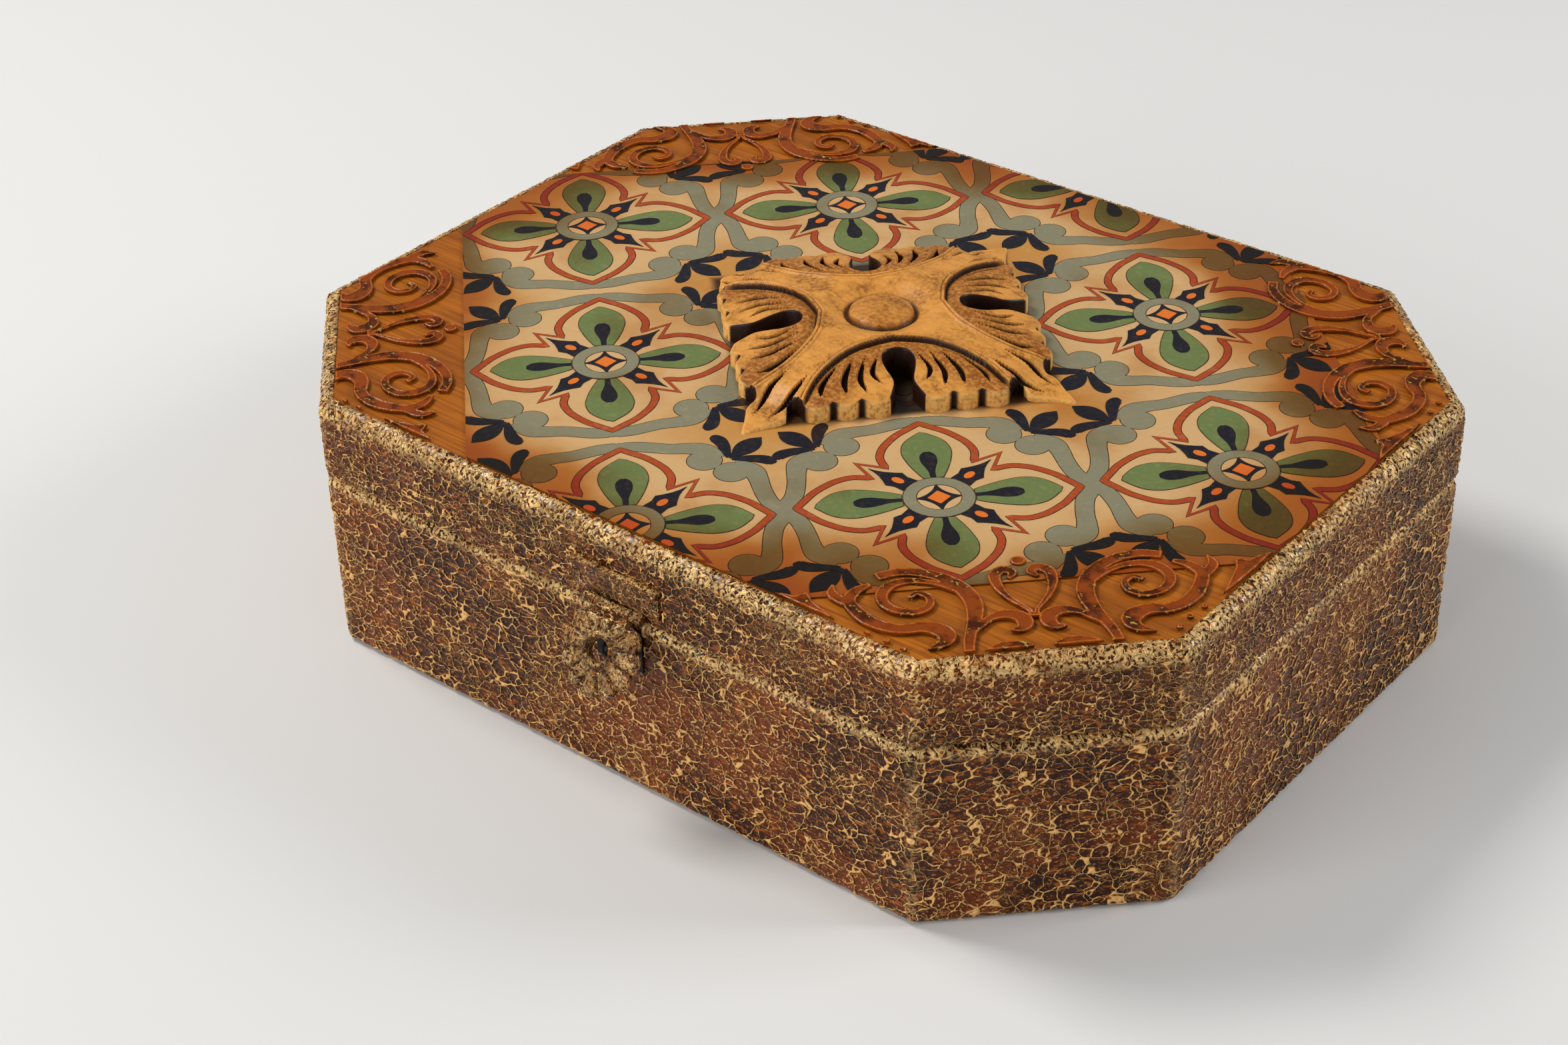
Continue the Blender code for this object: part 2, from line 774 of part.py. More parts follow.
def fasten(name, material, places, targets, sizes):
    """Set a countersunk fastener at each place and cut its hole in each target."""
    holes = []
    for count, place in enumerate(places, start=1):
        solid = countersunk_mesh(name, *sizes)
        solid.transform(place)
        shade(mesh_object(name + "_" + str(count), solid, material))
        hole = countersunk_mesh(name + "_hole", *sizes, gap=fit_gap)
        hole.transform(place)
        holes.append(hole)
    hole_cutter = cutter_object(name + "_holes", joined_mesh(name + "_holes", holes))
    for target in targets:
        combine(target, hole_cutter, "DIFFERENCE")


def hinge_leaf(name, middle_x, axis_y, axis_z, plate_low, knuckles):
    """A leaf let into the edge of a board, with its knuckles on the axis behind the box."""
    plate_high = plate_low + hinge_leaf_thickness
    plate_back = axis_y - hinge_barrel_radius - hinge_knuckle_gap
    leaf = mesh_object(name, box_mesh(
        name,
        (middle_x - hinge_width / 2, half_depth - hinge_leaf_depth, plate_low),
        (middle_x + hinge_width / 2, plate_back, plate_high)), hinge_brass)
    for start, end in knuckles:
        neck = box_mesh(
            "neck", (middle_x + start, plate_back - hinge_barrel_radius, plate_low),
            (middle_x + end, axis_y, plate_high))
        combine(leaf, cutter_object(name + "_neck", neck), "UNION")
        barrel = rod_mesh(
            "barrel", hinge_barrel_radius, (middle_x + start, axis_y, axis_z),
            (middle_x + end, axis_y, axis_z), hinge_sides)
        combine(leaf, cutter_object(name + "_barrel", barrel), "UNION")
    bore = rod_mesh(
        "bore", hinge_pin_radius + hinge_pin_clearance, (middle_x - hinge_width, axis_y, axis_z),
        (middle_x + hinge_width, axis_y, axis_z), hinge_sides)
    combine(leaf, cutter_object(name + "_bore", bore), "DIFFERENCE")
    return leaf


def build_hinges(base_board, lid_board):
    """Two butt hinges, each with a leaf in the base, a leaf in the lid, a pin and four screws."""
    axis_y = half_depth + hinge_setback
    axis_z = base_height + seam_gap / 2
    outer = hinge_width / 2
    inner = hinge_centre_knuckle / 2
    outer_knuckles = [(-outer, -inner - hinge_knuckle_gap), (inner + hinge_knuckle_gap, outer)]
    base_leaves = []
    lid_leaves = []
    base_screws = []
    lid_screws = []
    for word, sign in (("left", -1), ("right", 1)):
        middle_x = sign * (half_length - corner_cut - hinge_end_distance)
        pocket_half = outer + fit_gap
        pocket_front = half_depth - hinge_leaf_depth - fit_gap
        base_pocket = box_mesh(
            "pocket", (middle_x - pocket_half, pocket_front, base_height - hinge_leaf_thickness - fit_gap),
            (middle_x + pocket_half, half_depth + overrun, base_height + overrun))
        combine(base_board, cutter_object("base_pocket_" + word, base_pocket), "DIFFERENCE")
        lid_pocket = box_mesh(
            "pocket", (middle_x - pocket_half, pocket_front, lid_bottom - overrun),
            (middle_x + pocket_half, half_depth + overrun, lid_bottom + hinge_leaf_thickness + fit_gap))
        combine(lid_board, cutter_object("lid_pocket_" + word, lid_pocket), "DIFFERENCE")
        base_leaves.append(hinge_leaf(
            "hinge_base_leaf_" + word, middle_x, axis_y, axis_z,
            base_height - hinge_leaf_thickness, outer_knuckles))
        lid_leaves.append(hinge_leaf(
            "hinge_lid_leaf_" + word, middle_x, axis_y, axis_z, lid_bottom, [(-inner, inner)]))
        pin = mesh_object("hinge_pin_" + word, rod_mesh(
            "hinge_pin", hinge_pin_radius, (middle_x - outer, axis_y, axis_z),
            (middle_x + outer, axis_y, axis_z), hinge_sides), hinge_brass)
        shade(pin)
        screw_y = half_depth - hinge_leaf_depth / 2
        for side in (-1, 1):
            screw_x = middle_x + side * screw_spacing / 2
            base_screws.append(Matrix.Translation((screw_x, screw_y, base_height)))
            lid_screws.append(
                Matrix.Translation((screw_x, screw_y, lid_bottom)) @ Matrix.Rotation(pi, 4, "X"))
    sizes = (screw_head_radius, screw_shank_radius, hinge_leaf_thickness, screw_length, screw_sides)
    fasten("hinge_base_screw", hinge_brass, base_screws, base_leaves + [base_board], sizes)
    fasten("hinge_lid_screw", hinge_brass, lid_screws, lid_leaves + [lid_board], sizes)
    for leaf in base_leaves + lid_leaves:
        shade(leaf)


def latch_place(x, z, out):
    """Matrix that sets a fastener on the front of the box, its head facing the viewer."""
    return Matrix.Translation((latch_centre_x + x, out, z)) @ Matrix.Rotation(pi / 2, 4, "X")


def build_latch_plate(lid_board, pivot_y, pivot_z):
    """Plate on the lid with a raised ledge, two knuckles and two nails."""
    face = -half_depth - fit_gap
    front = face - latch_plate_thickness
    plate_low = pivot_z + latch_barrel_radius + fit_gap
    plate_high = plate_low + latch_plate_height
    half = latch_plate_width / 2
    inner = latch_knuckle_width / 2 + fit_gap
    outer = inner + latch_outer_knuckle
    tab_inner = inner + latch_tab_inset
    tab_outer = outer - latch_tab_inset
    tab_low = pivot_z + latch_tab_inset
    ledge_low = plate_high - latch_ledge_height
    lip = front - latch_ledge_thickness
    section = [
        (face, tab_low), (face, plate_high), (lip, plate_high), (lip, ledge_low),
        (front, ledge_low), (front, tab_low),
    ]
    mesh = section_mesh("latch_plate", section, latch_centre_x - half, latch_centre_x + half)
    plate = mesh_object("latch_plate", mesh, latch_metal)
    beyond = half + overrun
    for start, end in ((-beyond, -tab_outer), (-tab_inner, tab_inner), (tab_outer, beyond)):
        notch = box_mesh(
            "notch", (latch_centre_x + start, lip - overrun, tab_low - overrun),
            (latch_centre_x + end, face + overrun, plate_low))
        combine(plate, cutter_object("latch_notch", notch), "DIFFERENCE")
    for start, end in ((-outer, -inner), (inner, outer)):
        barrel = rod_mesh(
            "barrel", latch_barrel_radius, (latch_centre_x + start, pivot_y, pivot_z),
            (latch_centre_x + end, pivot_y, pivot_z), latch_sides)
        combine(plate, cutter_object("latch_barrel", barrel), "UNION")
    bore = rod_mesh(
        "bore", latch_pin_radius + latch_pin_clearance,
        (latch_centre_x - half, pivot_y, pivot_z), (latch_centre_x + half, pivot_y, pivot_z), latch_sides)
    combine(plate, cutter_object("latch_bore", bore), "DIFFERENCE")
    pin = mesh_object("latch_pin", rod_mesh(
        "latch_pin", latch_pin_radius, (latch_centre_x - outer, pivot_y, pivot_z),
        (latch_centre_x + outer, pivot_y, pivot_z), latch_sides), latch_metal)
    shade(pin)
    nail_x = half - nail_inset
    nail_z = (plate_low + ledge_low) / 2
    places = [latch_place(x, nail_z, front) for x in (-nail_x, nail_x)]
    sizes = (nail_head_radius, nail_shank_radius, latch_plate_thickness, nail_length, nail_sides)
    fasten("latch_plate_nail", latch_metal, places, [plate, lid_board], sizes)
    shade(plate)


def hasp_outline():
    """Shell-shaped hasp seen from the front, with the pivot at the origin and the shell below."""
    shoulder = latch_barrel_radius + fit_gap + hasp_shoulder_gap
    half_neck = latch_knuckle_width / 2
    start = pi - asin((hasp_drop - shoulder) / hasp_radius)
    sweep = 3 * pi - 2 * start
    outline = [(-half_neck, 0.0), (-half_neck, -shoulder)]
    count = hasp_lobes * hasp_lobe_steps
    for step in range(count + 1):
        angle = start + sweep * step / count
        swell = abs(sin(pi * step / hasp_lobe_steps))
        radius = hasp_radius - hasp_scallop_depth * (1 - swell)
        outline.append((radius * cos(angle), -hasp_drop + radius * sin(angle)))
    outline += [(half_neck, -shoulder), (half_neck, 0.0)]
    return outline


def build_hasp(pivot_y, pivot_z):
    """Scalloped shell with a hole for the knob, standing off the box as it hangs at rest."""
    hole = arc_points(
        0.0, -hasp_drop, hasp_hole_radius, 0.0, 2 * pi * (1 - 1 / hasp_hole_sides), hasp_hole_sides - 1)
    mesh = outline_mesh(
        "latch_hasp", [hasp_outline(), hole], -hasp_thickness / 2, hasp_thickness / 2)
    mesh.transform(Matrix.Rotation(pi / 2, 4, "X"))
    hasp = mesh_object("latch_hasp", mesh, latch_metal)
    half = latch_knuckle_width / 2
    barrel = rod_mesh(
        "barrel", latch_barrel_radius, (-half, 0.0, 0.0), (half, 0.0, 0.0), latch_sides)
    combine(hasp, cutter_object("hasp_barrel", barrel), "UNION")
    bore = rod_mesh(
        "bore", latch_pin_radius + latch_pin_clearance,
        (-latch_plate_width, 0.0, 0.0), (latch_plate_width, 0.0, 0.0), latch_sides)
    combine(hasp, cutter_object("hasp_bore", bore), "DIFFERENCE")
    hasp.location = (latch_centre_x, pivot_y, pivot_z)
    hasp.rotation_euler.x = -hasp_rest_angle
    shade(hasp)
    return hasp


def build_catch(base_board, pivot_y, pivot_z):
    """Plate on the base with the ball-headed knob that the hasp drops over."""
    face = -half_depth - fit_gap
    front = face - catch_plate_thickness
    middle_z = pivot_z - hasp_drop
    half = catch_plate_width / 2
    plate = mesh_object("catch_plate", box_mesh(
        "catch_plate", (latch_centre_x - half, front, middle_z - catch_plate_height / 2),
        (latch_centre_x + half, face, middle_z + catch_plate_height / 2)), latch_metal)
    head_y = pivot_y - knob_standoff
    reach = head_y + half_depth
    profile = [(0.0, knob_head_radius)]
    neck_angle = pi - asin(knob_stem_radius / knob_head_radius)
    for step in range(1, knob_rings + 1):
        angle = neck_angle * step / knob_rings
        profile.append((knob_head_radius * sin(angle), knob_head_radius * cos(angle)))
    profile += [(knob_stem_radius, reach - knob_stem_length), (0.0, reach - knob_stem_length)]
    knob = mesh_object("latch_knob", turned_mesh("latch_knob", profile, knob_sides), latch_metal)
    place = latch_place(0.0, middle_z, head_y)
    knob.data.transform(place)
    shade(knob)
    socket = rod_mesh(
        "socket", knob_stem_radius + fit_gap, (latch_centre_x, head_y, middle_z),
        (latch_centre_x, -half_depth + knob_stem_length + fit_gap, middle_z), knob_sides)
    socket_cutter = cutter_object("knob_socket", socket)
    combine(plate, socket_cutter, "DIFFERENCE")
    combine(base_board, socket_cutter, "DIFFERENCE")
    nail_x = half - nail_inset
    places = [latch_place(x, middle_z, front) for x in (-nail_x, nail_x)]
    sizes = (nail_head_radius, nail_shank_radius, catch_plate_thickness, nail_length, nail_sides)
    fasten("catch_plate_nail", latch_metal, places, [plate, base_board], sizes)
    shade(plate)


def hang_on_axes():
    """Parent every lid piece to an empty on the hinge axis, and the hasp to that empty."""
    axis = bpy.data.objects.new("lid_axis", None)
    axis.location = (0.0, half_depth + hinge_setback, base_height + seam_gap / 2)
    parts.objects.link(axis)
    bpy.context.view_layer.update()
    lid_words = (
        "lid_board", "top_panel", "print_sheet", "relief", "carved_rosette", "hinge_lid",
        "latch_plate", "latch_pin", "latch_hasp",
    )
    for part in parts.objects:
        if part.name.startswith(lid_words):
            part.parent = axis
            part.matrix_parent_inverse = axis.matrix_world.inverted()


def build():
    base_boards, lid_boards = build_walls()
    build_panels()
    build_print_sheet()
    build_reliefs()
    build_rosette()
    build_hinges(base_boards["back"], lid_boards["back"])
    pivot_y = -half_depth - latch_axis_standoff
    pivot_z = lid_bottom + latch_axis_height
    build_latch_plate(lid_boards["front"], pivot_y, pivot_z)
    build_hasp(pivot_y, pivot_z)
    build_catch(base_boards["front"], pivot_y, pivot_z)
    hang_on_axes()


build()
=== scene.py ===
"""Looks for an octagonal wooden keepsake box: crackled coat, printed lid and carved onlays."""

from math import asin, atan2, cos, pi, radians, sin, sqrt

import bmesh
import bpy
import numpy as np
from bpy.props import FloatProperty, FloatVectorProperty, PointerProperty
from mathutils import Matrix, Vector, kdtree, noise
from mathutils.geometry import delaunay_2d_cdt


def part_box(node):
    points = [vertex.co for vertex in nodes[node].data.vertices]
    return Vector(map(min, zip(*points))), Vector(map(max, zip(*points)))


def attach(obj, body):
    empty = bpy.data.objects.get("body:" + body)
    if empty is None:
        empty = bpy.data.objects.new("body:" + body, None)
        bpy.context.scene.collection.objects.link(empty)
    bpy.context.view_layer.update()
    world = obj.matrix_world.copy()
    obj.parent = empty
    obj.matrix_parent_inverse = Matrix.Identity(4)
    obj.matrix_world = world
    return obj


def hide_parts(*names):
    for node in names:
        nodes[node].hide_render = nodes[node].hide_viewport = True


bl_info = {
    "name": "Octagonal Keepsake Box",
    "version": (1, 0, 0),
    "blender": (4, 5, 0),
    "location": "View3D > Sidebar > Keepsake Box",
    "description": "Gives a wooden box its crackled coat, printed lid and carved onlays",
    "category": "Add Mesh",
}

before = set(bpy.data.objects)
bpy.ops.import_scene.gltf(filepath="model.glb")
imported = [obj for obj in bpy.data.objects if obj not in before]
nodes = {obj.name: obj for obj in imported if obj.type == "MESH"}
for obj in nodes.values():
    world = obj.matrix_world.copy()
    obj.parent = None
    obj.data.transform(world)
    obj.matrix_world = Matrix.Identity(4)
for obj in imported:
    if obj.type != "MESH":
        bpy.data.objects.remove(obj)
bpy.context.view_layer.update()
sides = ["front", "front_right", "right", "back_right", "back", "back_left", "left", "front_left"]

base_low, base_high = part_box("base_board_front")
lid_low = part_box("lid_board_front")[0]
top_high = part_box("top_panel")[1]
sheet_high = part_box("print_sheet")[1]
half_length = top_high.x
half_depth = top_high.y
corner_cut = half_length - base_high.x
level = sheet_high.z


def colour(name, description, default):
    return FloatVectorProperty(
        name=name, description=description, subtype="COLOR", size=3, min=0.0, max=1.0,
        default=default)


def length(name, description, default):
    return FloatProperty(name=name, description=description, unit="LENGTH", default=default)


def tint(red, green, blue):
    """A screen colour from 0 to 255 as Blender's linear colour."""
    return tuple(
        share / 12.92 if share <= 0.04045 else ((share + 0.055) / 1.055) ** 2.4
        for share in (red / 255, green / 255, blue / 255))


class KeepsakeLooks(bpy.types.PropertyGroup):
    coat_dark: colour("Coat hollows", "Glossy brown in the crackle's hollows", tint(54, 20, 2))
    coat_mid: colour("Coat body", "Red-brown between hollows and ridges", tint(122, 54, 10))
    coat_glow: colour("Coat streaks", "Orange streaks in the hollows", tint(204, 108, 30))
    coat_gold: colour("Coat ridges", "Gilding rubbed on the ridges", tint(255, 198, 120))
    # Paler gilding along the edges, laid on as painted highlight.
    coat_edge_highlight: colour("Coat edges", "Bright gilding along the edges", tint(255, 220, 152))
    wood: colour("Stained wood", "Lid's stained wood", tint(188, 108, 26))
    wood_dark: colour("Wood grain", "Dark lines of the lid's grain", tint(134, 70, 18))
    bare_wood: colour("Inside wood", "Wood inside the box", tint(176, 132, 84))
    bare_grain: colour("Inside grain", "Dark grain of the wood inside", tint(138, 96, 56))
    paper: colour("Paper", "Pale ground of the print", tint(211, 170, 116))
    paper_shade: colour("Paper shade", "Tan ground between the flowers", tint(196, 138, 66))
    glaze: colour("Glaze", "Brown glaze laid over the print's edges", tint(218, 172, 90))
    leaf_green: colour("Petal green", "Green of the petals", tint(106, 123, 70))
    ribbon_grey: colour("Ribbon", "Grey-green of ribbons and rings", tint(134, 131, 105))
    navy: colour("Navy", "Dark blue of darts and sprigs", tint(16, 16, 30))
    orange: colour("Orange", "Orange dots", tint(230, 116, 32))
    rust: colour("Rust", "Red-brown outline of each flower", tint(172, 68, 22))
    pencil: colour("Line", "Thin lines round the printed shapes", tint(62, 42, 28))
    carving: colour("Carving", "Stained wood of the rosette", tint(230, 160, 74))
    # Painted shade in the rosette's cuts and recesses, also used as painted shadow under it on the
    # sheet.
    carving_painted_shade: colour("Carving hollows", "Dark glaze in the rosette's cuts", tint(40, 18, 8))
    carving_smear: colour("Carving smears", "Brown smears on the rosette", tint(120, 66, 16))
    carving_edge: colour("Carving edges", "Rubbed edges of the rosette", tint(246, 190, 108))
    relief: colour("Scrolls", "Amber paste of the scrolls", tint(142, 64, 12))
    relief_dark: colour("Scroll hollows", "Dark glaze that lies in the scrolls", tint(70, 27, 3))
    relief_lip: colour("Scroll lips", "Lighter lips of the scrolls", tint(212, 120, 42))
    relief_fleck: colour("Scroll flecks", "Greenish gold flecks on the scrolls", tint(176, 150, 66))
    brass: colour("Brass", "Hinges", tint(206, 166, 96))
    brass_dark: colour("Tarnish", "Dark clouds on the hinges", tint(120, 86, 44))
    # Near-black paint on the knob and catch plate, as painted shadow of the hasp.
    knob: colour("Knob", "Dark knob and plate behind the hasp", tint(14, 8, 5))
    floor: colour("Floor", "Pale floor", (0.80, 0.80, 0.79))
    coat_spacing: length("Coat spacing", "Grid of the crackled coat", 0.00042)
    base_cell: length("Base cells", "Cells of the crackle on the base", 0.0042)
    lid_cell: length("Lid cells", "Cells of the crackle on the lid", 0.0030)
    ridge_height: length("Ridge height", "How far the crackle stands up", 0.00048)
    carving_spacing: length("Carving spacing", "Grid of the rosette", 0.00028)
    relief_spacing: length("Scroll spacing", "Grid of the scrolls", 0.00032)


def looks():
    return bpy.context.scene.keepsake_looks


# Node trees


class Tree:
    """Adds nodes to a tree and joins them."""

    def __init__(self, tree):
        self.tree = tree
        self.shader = tree.nodes.get("Principled BSDF")

    def feed(self, entry, value):
        """Join a socket to an input, or give the input a value."""
        if isinstance(value, bpy.types.NodeSocket):
            self.tree.links.new(value, entry)
        elif entry.type == "RGBA":
            entry.default_value = (*value, 1.0)
        else:
            entry.default_value = value

    def add(self, kind, values=None, **settings):
        node = self.tree.nodes.new(kind)
        for name, value in settings.items():
            setattr(node, name, value)
        for key, value in (values or {}).items():
            self.feed(node.inputs[key], value)
        return node

    def put(self, name, value):
        """Feed one of the shader's inputs."""
        self.feed(self.shader.inputs[name], value)

    def bump(self, height, strength, distance):
        values = {"Height": height, "Strength": strength, "Distance": distance}
        self.put("Normal", self.add("ShaderNodeBump", values).outputs["Normal"])

    def place(self):
        """Each point's place on its piece."""
        return self.add("ShaderNodeTexCoord").outputs["Object"]

    def parts(self, vector):
        """A vector's three numbers."""
        return self.add("ShaderNodeSeparateXYZ", {0: vector}).outputs

    def upward(self):
        """How far the surface faces up, from -1 to 1."""
        return self.parts(self.add("ShaderNodeNewGeometry").outputs["Normal"])[2]

    def mark(self, name, output="Fac"):
        """A value that the mesh keeps for each vertex."""
        return self.add("ShaderNodeAttribute", attribute_name=name).outputs[output]

    def math(self, operation, a, b=0.0):
        return self.add("ShaderNodeMath", {0: a, 1: b}, operation=operation).outputs[0]

    def times(self, a, b):
        return self.math("MULTIPLY", a, b)

    def vector(self, operation, a, b=(0.0, 0.0, 0.0)):
        return self.add("ShaderNodeVectorMath", {0: a, 1: b}, operation=operation).outputs["Vector"]

    def scaled(self, vector, scale):
        values = {0: vector, "Scale": scale}
        return self.add("ShaderNodeVectorMath", values, operation="SCALE").outputs["Vector"]

    def noise(self, place, scale, detail=2.0, roughness=0.5, output="Fac"):
        values = {"Vector": place, "Scale": scale, "Detail": detail, "Roughness": roughness}
        return self.add("ShaderNodeTexNoise", values).outputs[output]

    def edges(self, place, cell):
        """Distance to the nearest wall between cells, in cells."""
        return self.add(
            "ShaderNodeTexVoronoi", {"Vector": place, "Scale": 1.0 / cell},
            feature="DISTANCE_TO_EDGE").outputs["Distance"]

    def fade(self, value, start, end, low=0.0, high=1.0):
        """A smooth step from low to high as value goes from start to end."""
        return self.add(
            "ShaderNodeMapRange", {0: value, 1: start, 2: end, 3: low, 4: high},
            interpolation_type="SMOOTHSTEP").outputs[0]

    def mix(self, factor, a, b, blend="MIX"):
        return self.add(
            "ShaderNodeMix", {0: factor, 6: a, 7: b}, data_type="RGBA", blend_type=blend).outputs[2]


def new_material(name, roughness=0.4, metallic=0.0, coat=0.0, coat_roughness=0.1, specular=0.5):
    """A material and its tree."""
    material = bpy.data.materials.new(name)
    material.use_nodes = True
    tree = Tree(material.node_tree)
    for key, value in (
            ("Roughness", roughness), ("Metallic", metallic), ("Specular IOR Level", specular),
            ("Coat Weight", coat), ("Coat Roughness", coat_roughness)):
        tree.put(key, value)
    return material, tree


# Crackle, in shares of its cell
cell_stretch_share = 1.25
bend_share = 1.9
fine_cell_share = 0.45
wide_ridge_share = 0.115
fine_ridge_share = 0.15
# Crackle's height, in shares of a ridge
hollow_depth_share = 0.1
grit_share = 0.5
swell_share = 0.3
# Noise in the coat's colour, in waves per metre
coat_cloud_scale = 34.0
coat_worn_scale = 150.0
coat_streak_scale = 420.0
coat_speck_scale = 1100.0
coat_bump = 0.00055


def crackle(tree, place, cell):
    """How near a point is to a crackle ridge, from 0 in a hollow to 1 on a ridge."""
    flat = tree.vector("MULTIPLY", place, (1.0, 1.0, cell_stretch_share))
    drift = tree.noise(flat, 0.50 / cell, output="Color")
    drift = tree.vector("SUBTRACT", drift, (0.5, 0.5, 0.5))
    bent = tree.vector("ADD", flat, tree.scaled(drift, bend_share * cell))
    thick = tree.fade(tree.noise(place, 0.8 / cell), 0.25, 0.75, 1.9, 0.75)
    wide = tree.times(tree.edges(bent, cell), thick)
    wide = tree.fade(wide, 0.0, wide_ridge_share, 1.0, 0.0)
    fine = tree.times(tree.edges(bent, cell * fine_cell_share), thick)
    fine = tree.fade(fine, 0.0, fine_ridge_share, 1.0, 0.0)
    patch = tree.fade(tree.noise(place, 0.16 / cell), 0.42, 0.60)
    fine = tree.times(fine, tree.times(patch, 0.70))
    return tree.math("MAXIMUM", wide, fine)


def crackle_modifier(name, cell, height):
    """A modifier tree that pushes the coat out along coat_push where the crackle rises."""
    group = bpy.data.node_groups.new(name, "GeometryNodeTree")
    group.interface.new_socket("Geometry", in_out="INPUT", socket_type="NodeSocketGeometry")
    group.interface.new_socket("Geometry", in_out="OUTPUT", socket_type="NodeSocketGeometry")
    tree = Tree(group)
    entry = tree.add("NodeGroupInput")
    place = tree.add("GeometryNodeInputPosition").outputs[0]
    ridge = crackle(tree, place, cell)
    grit = tree.noise(place, 1.6 / cell, 3.0)
    swell = tree.noise(place, 0.30 / cell, 1.0)
    rise = tree.times(tree.math("SUBTRACT", ridge, hollow_depth_share), height)
    rise = tree.math("ADD", rise, tree.times(grit, height * grit_share))
    rise = tree.math("ADD", rise, tree.times(swell, height * swell_share))
    push = tree.add(
        "GeometryNodeInputNamedAttribute", {"Name": "coat_push"}, data_type="FLOAT_VECTOR")
    kept = tree.add(
        "GeometryNodeStoreNamedAttribute",
        {"Geometry": entry.outputs[0], "Name": "coat_place", "Value": place},
        data_type="FLOAT_VECTOR", domain="POINT")
    moved = tree.add(
        "GeometryNodeSetPosition",
        {"Geometry": kept.outputs[0],
         "Offset": tree.scaled(push.outputs[0], rise)})
    out = tree.add("NodeGroupOutput")
    group.links.new(moved.outputs[0], out.inputs[0])
    return group


def coat_material(name, cell, darkness, swept=True):
    """Glossy brown crackle with gilding rubbed on its ridges and on the box's edges, where paler
    gilding is also painted highlight; unswept pieces get it on faces that look up too.
    """
    material, tree = new_material(name, 0.20, coat=0.22, coat_roughness=0.05, specular=0.12)
    rim = tree.mark("rim")
    if swept:
        place = tree.mark("coat_place", "Vector")
    else:
        place = tree.place()
        # Faces that look up get gilding and painted highlight.
        rim = tree.math("MAXIMUM", rim, tree.fade(tree.upward(), 0.55, 0.95))
    ridge = crackle(tree, place, cell)
    zones = tree.fade(tree.noise(place, coat_cloud_scale, 4.0), 0.38, 0.66)
    speck = tree.noise(place, coat_speck_scale, 3.0)
    tall = tree.vector("MULTIPLY", place, (1.0, 1.0, 3.0))
    streak = tree.noise(tall, coat_streak_scale, 3.0, 0.6)
    ground = tree.mix(zones, looks().coat_dark, looks().coat_mid)
    ground = tree.mix(darkness, ground, looks().coat_dark)
    ground = tree.mix(tree.fade(streak, 0.50, 0.70, 0.0, 0.75), ground, looks().coat_glow)
    shine = tree.fade(zones, 0.0, 1.0, 0.3, 1.0)
    shine = tree.times(tree.fade(speck, 0.58, 0.66, 0.0, 0.8), shine)
    ground = tree.mix(shine, ground, looks().coat_gold)
    worn = tree.fade(tree.noise(place, coat_worn_scale, 3.0), 0.36, 0.58, 0.35, 1.0)
    edge = tree.times(tree.times(rim, worn), tree.fade(speck, 0.44, 0.54))
    gilt = tree.times(tree.fade(ridge, 0.46, 0.84), tree.fade(speck, 0.25, 0.50, 0.45, 1.0))
    gilt = tree.math("MAXIMUM", gilt, edge)
    body = tree.mix(gilt, ground, looks().coat_gold)
    # Paler gilding along the edges is laid on as painted highlight.
    body = tree.mix(tree.times(edge, 0.70), body, looks().coat_edge_highlight)
    # hollow_shade lays painted shade where a piece marks it, as in the shell's flutes.
    hollow_shade = tree.fade(tree.mark("hollow_shade"), 0.30, 0.90, 0.0, 0.8)
    tree.put("Base Color", tree.mix(hollow_shade, body, looks().coat_dark))
    tree.put("Metallic", tree.times(gilt, 0.12))
    tree.put("Roughness", tree.fade(gilt, 0.0, 1.0, 0.20, 0.26))
    tree.bump(tree.math("ADD", ridge, tree.times(speck, 0.55)), 1.0, coat_bump)
    return material


# Meshes


coat_merge_gap = 0.00001
raised_merge_gap = 0.000002
cut_tolerance = 1e-7
inside_batch = 4000


def deselect():
    bpy.ops.object.select_all(action="DESELECT")


def activate(piece):
    deselect()
    piece.select_set(True)
    bpy.context.view_layer.objects.active = piece


def new_piece(name, points, faces):
    mesh = bpy.data.meshes.new(name)
    mesh.from_pydata([tuple(point) for point in points], [], [tuple(face) for face in faces])
    mesh.update()
    piece = bpy.data.objects.new(name, mesh)
    bpy.context.scene.collection.objects.link(piece)
    return piece


def settle(piece, material, body, slot, *stands_for):
    """Give a finished piece its material, its body and the CAD nodes it stands for."""
    piece.data.materials.clear()
    piece.data.materials.append(material)
    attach(piece, body)
    if stands_for:
        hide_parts(*stands_for)
    return piece


def write_attribute(piece, name, values):
    """Keep a number or a direction for each vertex."""
    values = np.asarray(values, np.float32)
    if values.ndim == 1:
        attribute = piece.data.attributes.new(name, "FLOAT", "POINT")
        attribute.data.foreach_set("value", values)
    else:
        attribute = piece.data.attributes.new(name, "FLOAT_VECTOR", "POINT")
        attribute.data.foreach_set("vector", values.ravel())


def close_up(piece, merge_gap):
    """Merge the seams of a mesh, fill its open ends and point its faces outwards."""
    shape = bmesh.new()
    shape.from_mesh(piece.data)
    loose = [vertex for vertex in shape.verts if not vertex.link_faces]
    bmesh.ops.delete(shape, geom=loose, context="VERTS")
    bmesh.ops.remove_doubles(shape, verts=shape.verts, dist=merge_gap)
    for face in shape.faces:
        face.smooth = True
    rims = [edge for edge in shape.edges if edge.is_boundary]
    for edge in rims:
        edge.smooth = False
    if rims:
        bmesh.ops.holes_fill(shape, edges=rims)
    bmesh.ops.recalc_face_normals(shape, faces=shape.faces)
    shape.to_mesh(piece.data)
    shape.free()


def arc(centre, radius, start, end, steps):
    """Points on an arc, ends included."""
    return [
        (centre[0] + radius * cos(start + (end - start) * step / steps),
         centre[1] + radius * sin(start + (end - start) * step / steps))
        for step in range(steps + 1)
    ]


